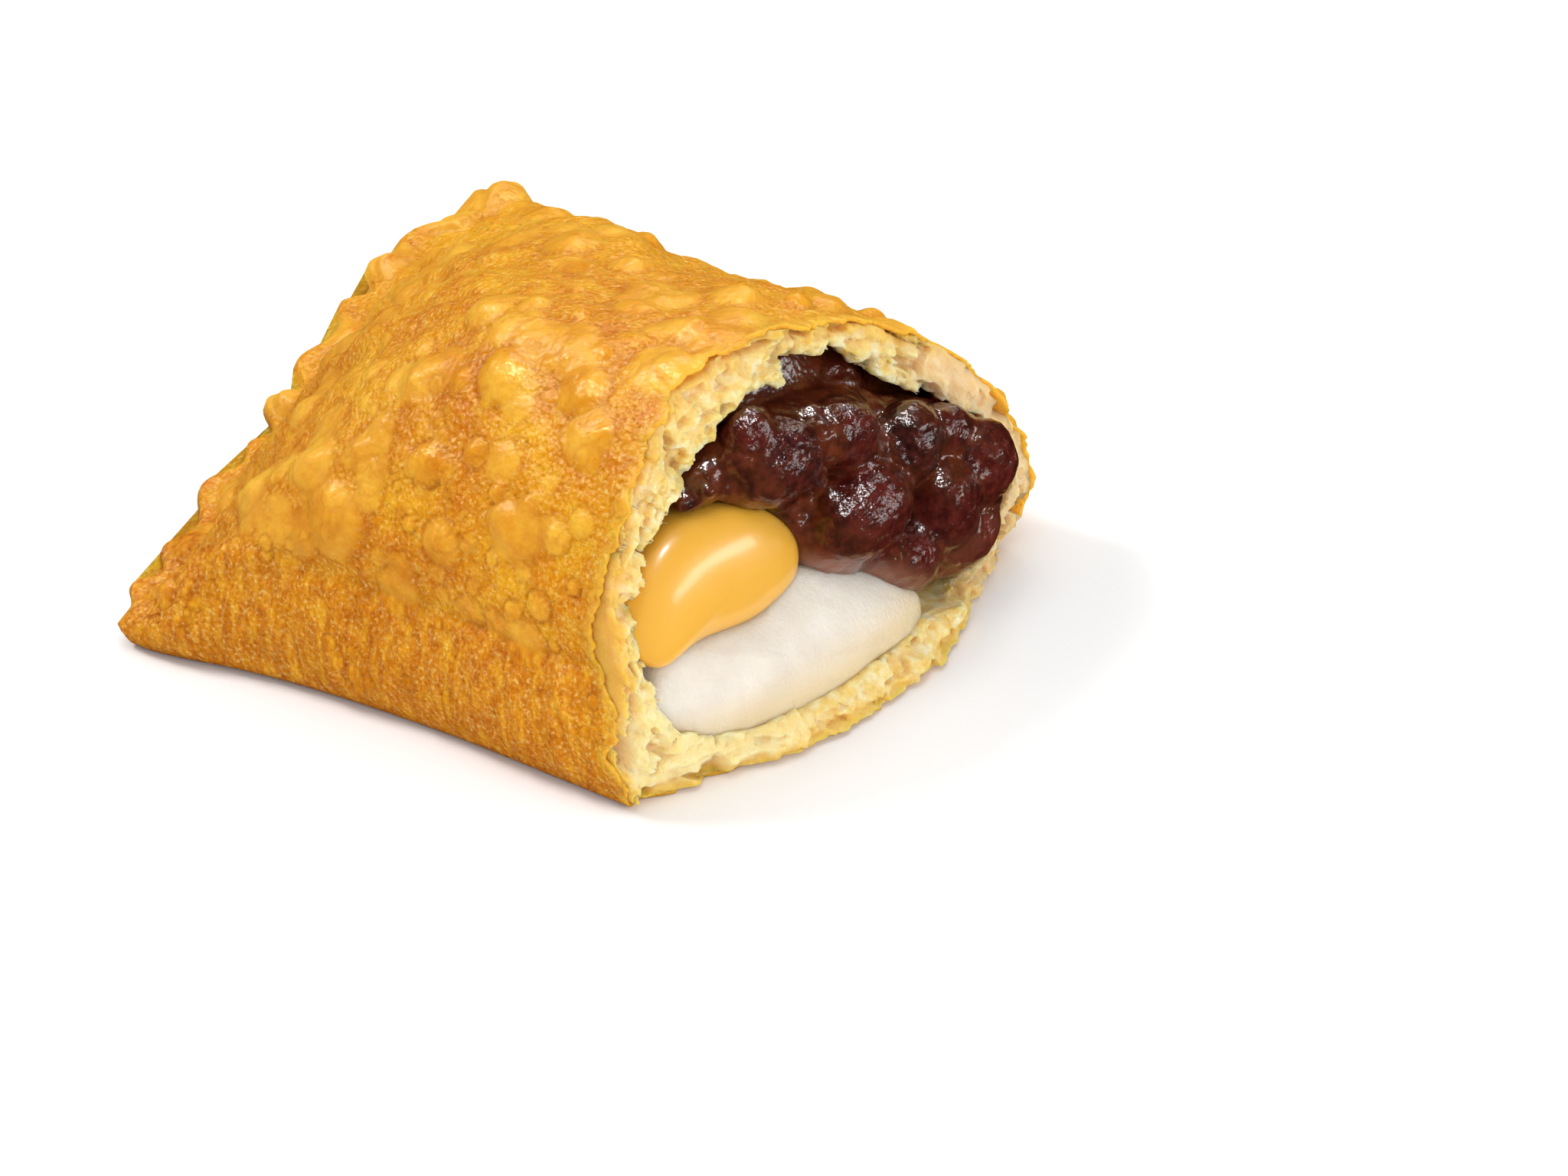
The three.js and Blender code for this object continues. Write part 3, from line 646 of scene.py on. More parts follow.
def skin_height(p, u, band, domes, halo):
    x, y, z = p.T
    lumps = 0.16 * rough_noise(p, 1.9, 3, 0.55) * (1 - 0.5 * band)
    curve = x + 0.35 * z + 0.04 * (z - 6) ** 2
    ribs = band * (0.22 * noise(curve * 0.8, z * 0.14, 0.5) + 0.1 * noise(curve * 2.1, z * 0.3, 4.5))
    crease = -0.25 * np.exp(-((z - BAND - 0.3) / 0.8) ** 2) * falling(y, 7, 3)
    swell = sum(high * np.exp(-((p - place) ** 2).sum(1) / wide ** 2) for *place, wide, high in SWELLS)
    upright = rising(z, *LEVEL_SPAN)
    height = slow_relief(p) + swell + domes + lumps + ribs + crease - HALO_DEPTH * halo
    return height * (upright * mix(0.4, 1.0, smooth(u / 0.02)))


def rim_reach(p, u):
    """How far the skin's ragged torn edge reaches out."""
    _, y, z = p.T
    ragged = sum(high * noise(y * often, z * often, seed)
                 for high, often, seed in ((0.45, 0.8, 8.5), (0.35, 2.3, 3.5), (0.2, 5.1, 6.5)))
    low = falling(z, 3.5, 3)
    base_reach = 0.7 * rising(y, 6, 8) * falling(y, 42, 8) - 1.0
    return rising(u, *RAGGED_SPAN) * (ragged * mix(1, 1.4, low) + base_reach * low)


def pinched_edge(first):
    """Rings that round off the pinched end."""
    middle = SEAL_THICK / 2 + lift(0, first[:, 1])
    edge = []
    for part in EDGE_PARTS:
        ring = first.copy()
        ring[:, 0] -= EDGE_ROUND * (1 - part ** 2)
        ring[:, 1] = TEAR_WIDTH / 2 + (ring[:, 1] - TEAR_WIDTH / 2) * mix(0.985, 1, part)
        ring[:, 2] = mix(middle, ring[:, 2], math.sin(part * HALF_PI))
        edge.append(ring)
    return edge


def turned_rim(last, plain_last, normals):
    """Rings that turn the skin's torn edge over."""
    rim = []
    for back, depth, plain in RIM_RINGS:
        ring = mix(last, plain_last, plain) - normals * depth
        ring[:, 0] = last[:, 0] - back
        rim.append(ring)
    return rim


def padded(values, before, after):
    """Values (rings, n) repeated on rings added before and after them, and 0 at the ends."""
    first = np.repeat(values[:1], before, 0)
    last = np.repeat(values[-1:], after, 0)
    return np.concatenate([first.ravel(), values.ravel(), last.ravel(), [0.0, 0.0]])


def build_skin(material):
    rng = np.random.default_rng(SKIN_SEED)
    shares = np.linspace(0, 1, SKIN_RINGS)
    rings = np.stack([skin_ring(u, SKIN_STEPS) for u in shares])
    normals = grid_normals(rings)
    p = rings.reshape(-1, 3)
    u = np.repeat(shares, rings.shape[1])
    blisters = [(*size, share * BLISTER_BOOST, shine) for *size, share, shine in BLISTERS]
    blisters += seeded_blisters(rng, rings)
    domes, pale, gloss, halo = blister_field(p, blisters)
    band = front_band(p)
    moved = p + normals.reshape(-1, 3) * skin_height(p, u, band, domes, halo)[:, None]
    moved[:, 0] += rim_reach(p, u)
    places, drawn_in = np.array(EDGE_DRAWN_IN).T
    moved[:, 0] += (1 - smooth(u / DRAWN_IN_TO)) * np.interp(p[:, 1], places, drawn_in)
    moved[:, 2] = np.maximum(moved[:, 2], 0.0)
    grid = moved.reshape(rings.shape)
    edge = pinched_edge(grid[0])
    rim = turned_rim(grid[-1], rings[-1], normals[-1])
    points, faces = capped(np.concatenate([edge, grid, rim]))
    values = {
        "pale": pale,
        "gloss": gloss,
        # The rings round the blisters also darken the colour, as painted shade in their creases.
        "ring": halo,
        "back": rising(p[:, 1], 22, 22),
        "band": band,
        "foot": smooth((1.3 - p[:, 2] + lift(u, p[:, 1])) / 1.3) * (p[:, 1] < 20),
        "hem": rising(u, 0.975, 0.025),
    }
    attributes = {key: padded(value.reshape(rings.shape[:2]), len(edge), len(rim))
                  for key, value in values.items()}
    make_object("crust_skin", points, faces, material, "crust", "crust", attributes)


def share_at(x, y, z):
    front = tear_x(y, z) - skin_back(y, z)
    return clamp((x - seal_x(y)) / (front - seal_x(y)))


def torn_x(y, z):
    """The torn surface of the crumb, before its chunks and cracks."""
    shelf = rising(y, 8, 8) * falling(y, 44, 8) * falling(z, 4.5, 3.5)
    return tear_x(y, z) - 0.5 + 1.2 * shelf


def skin_distance(outer, p):
    """Signed distance to the skin's outer side at points (n, 3), negative inside."""
    x, y, z = p.T
    u = share_at(x, y, z)
    plain = outer.at(y, z + rim_roll(u, y, z) + sag(u, y, z))
    return plain - slow_relief(p) * rising(z, *LEVEL_SPAN)


def inner_distance(depth, hole, cavity):
    """Distance to the torn hole, and further back to the cavity."""
    return mix(hole, cavity, rising(depth, *BROKEN_SPAN))


def crags(y, z, outer):
    """Height of the torn face's broken chunks, holes and cracks at points y, z."""
    within, along = -outer.at(y, z), outer.along(y, z)
    p = np.stack([y, z, 0 * y], -1)
    warp = 0.5 * rough_noise(p, 1.8, 2, 0.6, 2.2)
    s, w = along + warp, within + 0.5 * warp
    flat = np.stack([s, w], -1)
    big, big_edge = cells(flat / (2.3, 1.5), 3.0)
    mid, mid_edge = cells(flat / (1.2, 0.8), 8.0)
    tiny, _ = cells(flat / (0.55, 0.45), 5.0)
    height = 0.34 * big + 0.2 * mid + 0.08 * tiny + 0.4 * rough_noise(p, 2.6, 5, 0.6, 4.4)
    height -= 0.16 * (1 - smooth(mid_edge / 0.2)) + 0.22 * (1 - smooth(big_edge / 0.16))
    height -= 0.8 * smooth((0.2 * mid - big - 0.62) / 0.2) + 0.45 * smooth((-mid - 0.72) / 0.15)
    layer = 1.5 + 0.9 * noise(s * 0.12, 3.5, 0.5) + 0.25 * noise(s * 0.7, 1.5, 0.5)
    gap = 0.16 * smooth(noise(s * 0.16, 8.5, 0.5) / 0.25)
    height -= 1.1 * np.exp(-((within - layer) / (gap + 0.02)) ** 2) * (gap > 0.01)
    height = height * mix(0.25, 1.0, rising(within, 0.1, 0.9))
    height -= 0.35 * np.exp(-((within - 0.9) / 0.5) ** 2)
    return height * mix(1.0, 0.35, rising(y, 43, 5) * rising(z, 3, 3) * falling(z, 24, 4))


def build_crumb(material):
    outer = LoopTable(section_loop(TEAR_SECTION, COARSE))
    hollow = LoopTable(cavity_loop(COARSE))
    hole = LoopTable(np.array(HOLE_OUTLINE))
    deep = CRUMB_FINE[0] - np.cumsum(CRUMB_STEP * CRUMB_GROWTH ** np.arange(1, 30))
    fine, ys, zs = (np.arange(*span, CRUMB_STEP) for span in (CRUMB_FINE, CRUMB_SPAN_Y, CRUMB_SPAN_Z))
    ds = np.concatenate([deep[deep > -CRUMB_DEPTH][::-1], fine])
    y2, z2 = np.meshgrid(ys, zs, indexing="ij")
    x3 = tear_x(y2, z2, 0) + ds[:, None, None]
    relief = crags(y2.ravel(), z2.ravel(), outer).reshape(y2.shape)
    layers = (x3, y2, z2, torn_x(y2, z2), hollow.at(y2, z2), hole.at(y2, z2), relief)
    zone = (outer.at(y2, z2) < 2.5) & (hole.at(y2, z2) > -1.6) & (x3 - torn_x(y2, z2) < 2.2)
    x, y, z, front, cavity, gap, height = (np.broadcast_to(a, x3.shape)[zone] for a in layers)
    p = np.stack([x, y, z], -1)
    depth = front - x
    skin = skin_distance(outer, p) + 0.32 + 0.06 * np.maximum(depth, 0)
    skin += 0.12 * rough_noise(p, 0.9, 2, 0.6, 6.1) * smooth(z / 1.5)
    rugged = 0.3 + 0.7 * smooth(1 - depth / 4)
    own, _ = cells(p * (0.7, 0.9, 0.9) + 0.4 * rough_noise(p, 1.5, 2, 0.6, 7.7)[:, None], 2.0)
    relief = rugged * (0.2 * own + 0.3 * rough_noise(p, 2.0, 3, 0.5, 9.7))
    inner = relief - inner_distance(depth, gap, cavity)
    field = np.full(x3.shape, 3.0, np.float32)
    field[zone] = np.maximum(np.maximum(skin, -depth - height), inner)
    vertices, quads = largest_part(*surface_nets(closed(field, CRUMB_STEP), (ds, ys, zs)))
    vertices[:, 0] += tear_x(vertices[:, 1], vertices[:, 2], 0)
    vertices = relax(vertices, quads, *CRUMB_SMOOTHING)
    x, y, z = vertices.T
    to_skin = -skin_distance(outer, vertices)
    depth = torn_x(y, z) - x
    to_hollow = inner_distance(depth, hole.at(y, z), hollow.at(y, z)) - 0.3
    attributes = {
        "near_skin": smooth(1 - (to_skin - 0.3) / 1.7),
        # Painted shade: the crumb is darker in its pits and further behind the torn face.
        "hole": rising(depth, 0.3, 1.2) * smooth(to_hollow / 0.6),
        # Painted shade: dark brown on the crumb's walls by the cavity, under the roof.
        "hollow_shade": rising(depth, 0.5, 1.3) * smooth(1.2 - to_hollow / 0.8),
        # Painted light: the crumb's low front corner is made paler.
        "painted_corner_light": falling(z, 13, 6) * falling(y, 20, 10) * rising(to_skin, 0.6, 1.2),
        "roof": rising(z, 8, 5) * rising(y, 10, 10),
        "right": rising(y, 38, 7) * falling(z, 25, 5),
    }
    make_object("crust_crumb", vertices, [quads], material, "crust", "crust", attributes)


def curve_loop(points, count):
    """Closed centripetal curve through outline points, evenly spaced."""
    points = np.array(points, float)
    out = []
    for i in range(len(points)):
        p0, p1, p2, p3 = (points[(i + k) % len(points)] for k in (-1, 0, 1, 2))
        sides = (p1 - p0, p2 - p1, p3 - p2)
        d0, d1, d2 = (max(np.linalg.norm(side) ** 0.5, 1e-4) for side in sides)
        t1 = ((p1 - p0) / d0 - (p2 - p0) / (d0 + d1) + (p2 - p1) / d1) * d1
        t2 = ((p2 - p1) / d1 - (p3 - p1) / (d1 + d2) + (p3 - p2) / d2) * d1
        s = np.arange(CURVE_STEPS)[:, None] / CURVE_STEPS
        out.append((2 * s ** 3 - 3 * s ** 2 + 1) * p1 + (s ** 3 - 2 * s ** 2 + s) * t1
                   + (3 * s ** 2 - 2 * s ** 3) * p2 + (s ** 3 - s ** 2) * t2)
    dense = np.concatenate([*out, out[0][:1]])
    length = np.concatenate([[0], np.cumsum(np.linalg.norm(np.diff(dense, axis=0), axis=1))])
    wanted = np.arange(count) / count * length[-1]
    return np.stack([np.interp(wanted, length, dense[:, k]) for k in (0, 1)], 1)


def eased(height, weight):
    """Rings of heights smoothed towards their neighbours by a weight, the outer ring kept."""
    times, share = EASING
    for _ in range(times):
        before = np.concatenate([height[:1], height[:-1]])
        after = np.concatenate([height[1:], np.full_like(height[:1], height[-1].mean())])
        middle = (before + after + np.roll(height, 1, 1) + np.roll(height, -1, 1)) / 4
        height = mix(height, middle, share * smooth(weight))
    return height


def leaning(y, z, foot, lean):
    return foot - lean * clamp((z - 6) / 24)


def mochi_face(y, z):
    return tear_x(y, z, 0) - MOCHI_BACK


def cream_face(y, z):
    return leaning(y, z, *CREAM_FACE)


def loft(loop, face, dome, reach):
    """Rings of a filling: straight from the back to its rim, then a domed face."""
    centre = loop.mean(0)
    layers, insides = [], []
    for depth in np.linspace(FILL_BACK, 0, BACK_RINGS)[:-1]:
        x = face(*loop.T) + depth
        layers.append(np.stack([x, *loop.T], 1))
    for ring in range(FACE_RINGS):
        flat = centre + (loop - centre) * (1 - ring / FACE_RINGS)
        inside_by = np.maximum(-loop_distance(loop, *flat.T)[0], 0)
        insides.append(inside_by)
        t = clamp(inside_by / reach)
        x = face(*flat.T) + dome * np.sqrt(1 - (1 - t) ** 2)
        layers.append(np.stack([x, *flat.T], 1))
    grid = np.stack(layers)
    grid[-FACE_RINGS:, :, 0] = eased(grid[-FACE_RINGS:, :, 0], clamp(1.5 * np.stack(insides) / reach))
    return grid


def build_mochi(material):
    grid = loft(curve_loop(MOCHI_OUTLINE, MOCHI_POINTS), mochi_face, *MOCHI_BULGE)
    swell = 0.28 * rough_noise(grid, 7.0, 2, 0.5, 5.0) + 0.03 * rough_noise(grid, 0.7, 2, 0.6, 2.0)
    grid[..., 0] += swell
    points, faces = capped(grid)
    # The mochi's low part, which its material darkens as painted shade.
    make_object("mochi", points, faces, material, "mochi", "mochi", {"low": falling(points[:, 2], 8.5, 5)})


def build_cream(material):
    grid = loft(curve_loop(CREAM_OUTLINE, CREAM_POINTS), cream_face, *CREAM_BULGE)
    make_object("cream", *capped(grid), material, "cream", "cream", {})


def add_beans(field):
    for y, z, out, length, width, tilt, _ in BEANS:
        a = math.radians(tilt)
        turn = np.array([[0, math.cos(a), math.sin(a)], [0, -math.sin(a), math.cos(a)], [1, 0, 0]])
        field.stamp((out, y, z), (length / 2, width / 2, width * BEAN_THICK), turn, BEAN_SEAM)


def add_lumps(field, outline):
    rng = np.random.default_rng(LUMP_SEED)
    for _ in range(LUMPS):
        r = 0.6 + 1.0 * rng.random()
        y, z = (low + span * rng.random() for low, span in zip(LUMP_LOW, LUMP_SPAN))
        if outline.at(np.array(y), np.array(z)) > -1:
            continue
        out = leaning(y, z, *PASTE_FACE) + 0.5 * rng.random()
        field.stamp((out, y, z), (r, r * 0.9, r * 0.8), np.eye(3), LUMP_SEAM)


def bean_cover(vertices):
    red = np.zeros(len(vertices))
    bean = np.zeros(len(vertices))
    for y, z, out, length, width, _, redness in BEANS:
        across = (length + width) / 4
        away = np.linalg.norm((vertices - (out, y, z)) / (width / 2, across, across), axis=1)
        cover = smooth((1.12 - away) * 4)
        red = mix(red, redness, cover)
        bean = np.maximum(bean, cover)
    return bean, red


def build_paste(material):
    outline, mochi, cream = (LoopTable(curve_loop(loop, SOLID_POINTS))
                             for loop in (PASTE_OUTLINE, MOCHI_OUTLINE, CREAM_OUTLINE))
    hollow = LoopTable(cavity_loop(COARSE))
    field = Field(PASTE_LOW, PASTE_HIGH, PASTE_STEP)
    x, y, z = field.all_axes()
    y2, z2 = np.broadcast_arrays(y, z)
    creep = np.exp(-(np.maximum(mochi.at(y2, z2), 0) / 2.2) ** 2)
    face = leaning(y2, z2, *PASTE_FACE) + creep - 1.4 * rising(y2, 43, 5)
    edge = mix(outline.at(y2, z2), hollow.at(y2, z2), falling(x, -5.5, 3)) + 0.3
    squares = np.maximum(edge + PASTE_ROUND, 0) ** 2 + np.maximum(x - face + PASTE_ROUND, 0) ** 2
    rounded = np.sqrt(squares) - PASTE_ROUND
    field.value = np.maximum(np.maximum(edge, x - face), rounded).astype(np.float32)
    add_beans(field)
    add_lumps(field, outline)
    near = np.abs(field.value) < 1.0
    p = np.stack([np.broadcast_to(a, field.shape)[near] for a in (x, y, z)], -1)
    field.value[near] += 0.15 * rough_noise(p, 1.5, 3, 0.65, 1.3)
    in_others = np.minimum(mochi.at(y2, z2) + INTO_MOCHI, cream.at(y2, z2) + INTO_CREAM)
    keep_out = np.maximum(hollow.at(y2, z2) + 0.12, -in_others)
    field.value = np.maximum(field.value, keep_out).astype(np.float32)
    vertices, quads = largest_part(*field.mesh())
    vertices = relax(vertices, quads, *PASTE_SMOOTHING)
    x, y, z = vertices.T
    bean, red = bean_cover(vertices)
    attributes = {
        "red": red,
        "bean": bean,
        "low": falling(z, 9.5, 3),
        "apron": smooth(1 - mochi.at(y, z) / 2.4),
        # Painted shade: the paste darkens further back.
        "deep": falling(x, -3.5, 4),
    }
    name = "red_bean_paste"
    make_object(name, vertices, [quads], material, name, name, attributes)


class Shader:
    """A principled material built from a few procedural nodes. Sizes are in millimetres."""

    def __init__(self, name, **inputs):
        self.material = bpy.data.materials.new(name)
        self.material.use_nodes = True
        self.nodes = self.material.node_tree.nodes
        self.place = self.node("ShaderNodeTexCoord", "Object", {})
        self.set_main(Subsurface_Scale=MM, **inputs)

    def set_main(self, **inputs):
        for key, value in inputs.items():
            self.feed(value, self.nodes["Principled BSDF"].inputs[key.replace("_", " ")])

    def feed(self, value, socket):
        """Links an output to a socket, or sets a number or a colour on it."""
        if hasattr(value, "links"):
            self.material.node_tree.links.new(value, socket)
        else:
            socket.default_value = (*value, 1) if socket.type == "RGBA" else value

    def node(self, kind, output, inputs, **settings):
        """The output of a new node with these inputs and settings."""
        made = self.nodes.new(kind)
        for key, value in settings.items():
            setattr(made, key, value)
        for key, value in inputs.items():
            self.feed(value, made.inputs[key])
        return made.outputs[output]

    def attribute(self, name):
        return self.node("ShaderNodeAttribute", "Fac", {}, attribute_name=name)

    def noise(self, size, detail, rough=0.5, stretch=None):
        place = self.place
        if stretch:
            place = self.node("ShaderNodeMapping", "Vector", {"Vector": place, "Scale": stretch})
        inputs = {"Scale": 1 / (size * MM), "Detail": detail, "Roughness": rough, "Vector": place}
        return self.node("ShaderNodeTexNoise", "Fac", inputs)

    def bubbles(self, size):
        inputs = {"Scale": 1 / (size * MM), "Vector": self.place}
        return self.node("ShaderNodeTexVoronoi", "Distance", inputs, feature="SMOOTH_F1")

    def ramp(self, factor, stops):
        """Colours of hex codes, or greys of numbers, at positions of a factor."""
        made = self.nodes.new("ShaderNodeValToRGB")
        elements = made.color_ramp.elements
        while len(elements) < len(stops):
            elements.new(0.5)
        for element, (position, value) in zip(elements, stops.items()):
            element.position = position
            element.color = (*(srgb(value) if isinstance(value, str) else (value,) * 3), 1)
        self.feed(factor, made.inputs["Fac"])
        return made.outputs["Color"]

    def blend(self, factor, a, b):
        return self.node("ShaderNodeMix", 2, {0: factor, 6: a, 7: b}, data_type="RGBA")

    def times(self, a, b):
        return self.node("ShaderNodeMath", 0, {0: a, 1: b}, operation="MULTIPLY")

    def minus(self, a, b):
        return self.node("ShaderNodeMath", 0, {0: a, 1: b}, operation="SUBTRACT")

    def tint(self, colour, part, share, code):
        """The colour, turned by a share towards a hex code where a part is high."""
        part = self.attribute(part) if isinstance(part, str) else part
        return self.blend(self.times(part, share), colour, srgb(code))

    def bump(self, height, depth, **before):
        """Bump whose unit height stands for a depth in millimetres, over the Normal before it."""
        return self.node("ShaderNodeBump", "Normal", {"Distance": depth * MM, "Height": height, **before})

    def finish(self, normal, **inputs):
        self.set_main(Normal=normal, Coat_Normal=normal, **inputs)
        return self.material


def srgb(code):
    """Linear colour of a hex code."""
    parts = [int(code[i:i + 2], 16) / 255 for i in (0, 2, 4)]
    return tuple(c / 12.92 if c <= 0.04045 else ((c + 0.055) / 1.055) ** 2.4 for c in parts)


def skin_material():
    s = Shader("fried_skin", Subsurface_Weight=0.4, Subsurface_Radius=(2.0, 0.9, 0.1), IOR=1.4,
               Specular_IOR_Level=0.6, Specular_Tint=(1.0, 0.76, 0.3),
               Coat_Weight=0.14, Coat_Roughness=0.14)
    pale, gloss, band = (s.attribute(key) for key in ("pale", "gloss", "band"))
    broad, fine, specks = s.noise(6.5, 4), s.noise(2.0, 5, 0.65), s.noise(0.36, 3, 0.6)
    deep = s.ramp(broad, {0.36: "C25E00", 0.5: "D98600", 0.64: "ECAA10"})
    grain = s.ramp(fine, {0.36: "BC5C00", 0.5: "DA8E00", 0.64: "F2BC2C"})
    colour = s.blend(0.45, deep, grain)
    colour = s.tint(colour, "back", 0.4, "EEAE10")
    honey = s.ramp(broad, {0.3: "E29C20", 0.7: "F2C454"})
    colour = s.blend(s.times(pale, 0.5), colour, honey)
    strand = s.noise(0.9, 4, 0.62, (1, 1, 0.25))
    orange = s.ramp(strand, {0.34: "A84A00", 0.5: "CE7800", 0.66: "ECAC20"})
    colour = s.blend(s.times(band, 0.8), colour, orange)
    # Specks of darker and paler orange; the palest specks are partly painted glints.
    speck_tone_and_glints = s.ramp(specks, {0.34: "B85C00", 0.5: "DA8A0C", 0.66: "FFD878"})
    colour = s.blend(s.minus(0.26, s.times(pale, 0.2)), colour, speck_tone_and_glints)
    glint = s.ramp(s.noise(0.42, 3, 0.7), {0.56: 0.0, 0.66: 1.0})
    glint_share = s.times(glint, s.minus(0.5, s.times(pale, 0.42)))
    colour = s.blend(glint_share, colour, srgb("FCDC84"))
    # Darker orange in the creases round the blisters: painted shade.
    colour = s.tint(colour, "ring", 0.5, "B45804")
    colour = s.tint(colour, "foot", 0.8, "984404")
    colour = s.tint(colour, "hem", 0.5, "F2BC44")
    rough_part = s.minus(1.0, s.times(pale, 0.75))
    normal = s.bump(s.times(s.bubbles(0.5), rough_part), 0.24)
    normal = s.bump(s.times(specks, rough_part), 0.1, Normal=normal)
    normal = s.bump(fine, 0.16, Normal=normal)
    return s.finish(normal, Base_Color=colour, Roughness=s.ramp(gloss, {0.0: 0.45, 1.0: 0.2}))


def crumb_material():
    s = Shader("crumb", Roughness=0.62, Subsurface_Weight=0.75, Subsurface_Radius=(1.8, 1.3, 0.6))
    colour = s.ramp(s.noise(1.3, 5, 0.6), {0.34: "ECC264", 0.5: "F7D68A", 0.66: "FEEABC"})
    # Darker tan in the crumb's pits and recesses: painted shade.
    colour = s.tint(colour, "hole", 0.7, "D8AC64")
    colour = s.tint(colour, "near_skin", 0.8, "F2B438")
    colour = s.tint(colour, "right", 0.6, "EEC8A0")
    # Dark brown on the crumb by the cavity under the roof: painted shade.
    colour = s.blend(s.times(s.attribute("hollow_shade"), s.attribute("roof")), colour, srgb("4A1606"))
    # A paler low front corner of the crumb: painted light.
    colour = s.tint(colour, "painted_corner_light", 0.6, "FFE6AC")
    normal = s.bump(s.noise(0.6, 5, 0.7), 0.36)
    normal = s.bump(s.noise(0.22, 3, 0.7), 0.06, Normal=normal)
    return s.finish(normal, Base_Color=colour)


def paste_material():
    s = Shader("red_bean", Roughness=0.3, Subsurface_Weight=0.06, Subsurface_Radius=(1.5, 0.3, 0.15),
               IOR=1.38, Specular_IOR_Level=0.3, Coat_Weight=0.9, Coat_Roughness=0.04)
    bean = s.attribute("bean")
    skin = s.ramp(s.attribute("red"), {0.0: "1E0808", 0.5: "460F0B", 1.0: "7A2010"})
    web = s.ramp(s.noise(2.4, 3), {0.35: "34140A", 0.65: "602C10"})
    mottle = s.ramp(s.noise(0.9, 4, 0.6), {0.4: "2A0C08", 0.6: "7C3020"})
    colour = s.blend(0.25, s.blend(bean, web, skin), mottle)
    colour = s.tint(colour, "low", 0.35, "6E3C2C")
    apron = s.times(s.attribute("apron"), s.minus(1.0, s.times(bean, 0.6)))
    colour = s.tint(colour, apron, 0.75, "90604E")
    # Darker paste further back: painted shade.
    colour = s.tint(colour, "deep", 0.5, "4A1A0C")
    normal = s.bump(s.times(s.noise(1.0, 4, 0.55), bean), 0.28)
    normal = s.bump(s.times(bean, s.minus(1.0, bean)), 0.8, Normal=normal)
    normal = s.bump(s.bubbles(0.5), 0.07, Normal=normal)
    normal = s.bump(s.noise(0.34, 3, 0.6), 0.035, Normal=normal)
    return s.finish(normal, Base_Color=colour)


def mochi_material():
    s = Shader("mochi", Roughness=0.4, Subsurface_Weight=0.8, Subsurface_Radius=(3.0, 2.5, 2.0))
    colour = s.ramp(s.noise(4.0, 3), {0.3: "DBD3C7", 0.7: "E6DFD4"})
    # Darker and yellower towards the bottom: painted shade.
    colour = s.tint(colour, "low", 0.8, "DCC292")
    return s.finish(s.bump(s.noise(0.42, 4, 0.6, (1, 1, 0.7)), 0.22), Base_Color=colour)


def cream_material():
    s = Shader("cream", Base_Color=srgb("E2AA3A"), Roughness=0.34, Subsurface_Weight=0.4,
               Subsurface_Radius=(2.0, 1.2, 0.4), Coat_Weight=0.45, Coat_Roughness=0.14)
    return s.finish(s.bump(s.noise(3.0, 2), 0.05))


def camera_axes():
    back = np.array([math.sin(AZIMUTH) * math.cos(ELEVATION), -math.cos(AZIMUTH) * math.cos(ELEVATION),
                     math.sin(ELEVATION)])
    level = np.array([math.cos(AZIMUTH), math.sin(AZIMUTH), 0.0])
    up = np.cross(back, level)
    cos, sin = math.cos(ROLL), math.sin(ROLL)
    return cos * level - sin * up, sin * level + cos * up, back


def add_camera():
    right, up, back = camera_axes()
    shift = (right * OFF_CENTRE[0] + up * OFF_CENTRE[1]) / PIXELS_PER_MM
    place = FRONT_FOOT + back * CAMERA_DISTANCE - shift
    camera = add_object("camera", bpy.data.cameras.new("camera"))
    camera.data.sensor_width = SENSOR_WIDTH
    camera.data.lens = SENSOR_WIDTH * PIXELS_PER_MM * CAMERA_DISTANCE / IMAGE_WIDTH
    camera.data.clip_start = CLIP_START
    turn = Matrix(np.stack([right, up, back], 1))
    camera.matrix_world = Matrix.Translation(Vector(place * MM)) @ turn.to_4x4()
    bpy.context.scene.camera = camera


def in_view(side, up, near):
    """A place by the camera's own directions, in metres from the pie's middle."""
    right, top, back = camera_axes()
    return Vector(right * side + top * up + back * near)


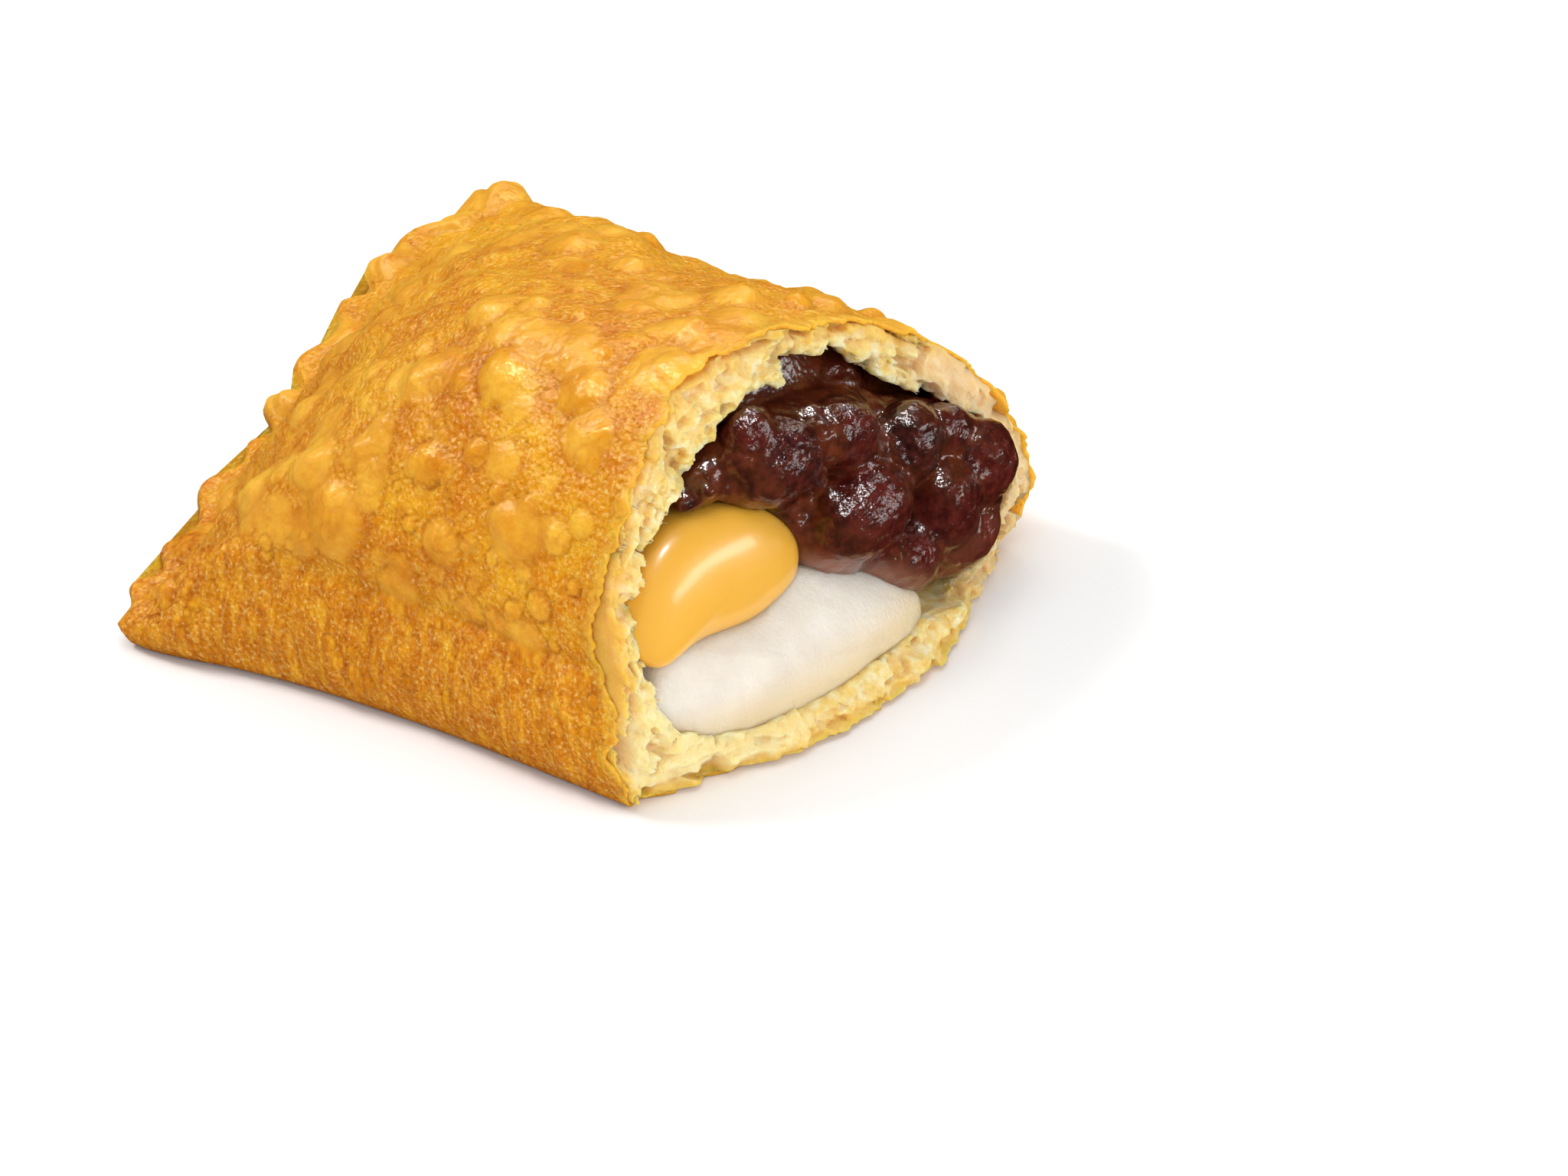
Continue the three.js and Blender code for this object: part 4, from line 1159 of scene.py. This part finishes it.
def add_light(name, place, size, power, shiny=True, dull=True, target=MIDDLE, along=(0, 0, 1)):
    """A rectangular soft light, its second side along a direction."""
    light = add_object(name, bpy.data.lights.new(name, "AREA"))
    light.data.shape = "RECTANGLE"
    light.data.size, light.data.size_y = size
    light.data.energy = power
    light.visible_camera = False
    light.visible_glossy = shiny
    light.visible_diffuse = dull
    light.location = place
    out = (Vector(place) - Vector(target)).normalized()
    across = Vector(along).cross(out).normalized()
    light.rotation_euler = Matrix((across, out.cross(across), out)).transposed().to_euler()


def add_floor():
    material = Shader("floor", Base_Color=(0.92, 0.92, 0.92), Roughness=0.9).material
    mesh, a = bpy.data.meshes.new("floor"), FLOOR_HALF
    mesh.from_pydata([(-a, -a, 0), (a, -a, 0), (a, a, 0), (-a, a, 0)], [], [(0, 1, 2, 3)])
    mesh.materials.append(material)
    floor = add_object("floor", mesh)
    floor.location.z = -FLOOR_DROP
    floor.visible_glossy = False


def add_world():
    world = bpy.data.worlds.new("studio")
    world.use_nodes = True
    background = world.node_tree.nodes["Background"]
    background.inputs["Color"].default_value = (1, 1, 1, 1)
    background.inputs["Strength"].default_value = WORLD_STRENGTH
    world.cycles_visibility.glossy = False
    bpy.context.scene.world = world


build_skin(skin_material())
build_crumb(crumb_material())
build_paste(paste_material())
build_mochi(mochi_material())
build_cream(cream_material())
add_camera()
add_floor()
add_world()
add_light("key", in_view(-0.42, 0.48, 0.08), (0.16, 0.16), 1.95)
add_light("spark", in_view(0.06, 0.44, 0.38), (0.08, 0.08), 2.4, dull=False)
add_light("glint", in_view(-0.10, 0.52, 0.20), (0.12, 0.05), 2.2, dull=False)
add_light("top", (0.0, 0.1, 0.9), (0.8, 0.8), 2.8, shiny=False)
add_light("fill", (0.62, -0.22, 0.34), (0.5, 0.5), 1.3, shiny=False)
add_light("side", in_view(0.56, 0.08, 0.21), (0.09, 0.5), 1.3, along=in_view(0.27, 0.39, -0.70))
add_light("rear", in_view(0.12, 0.55, -0.12), (0.2, 0.1), 0.6)
add_light("card", (0.103, -0.117, 0.05), (0.08, 0.08), 0.044, shiny=False, target=(0.03, -0.027, 0.01))
bpy.context.scene.view_settings.view_transform = "Standard"
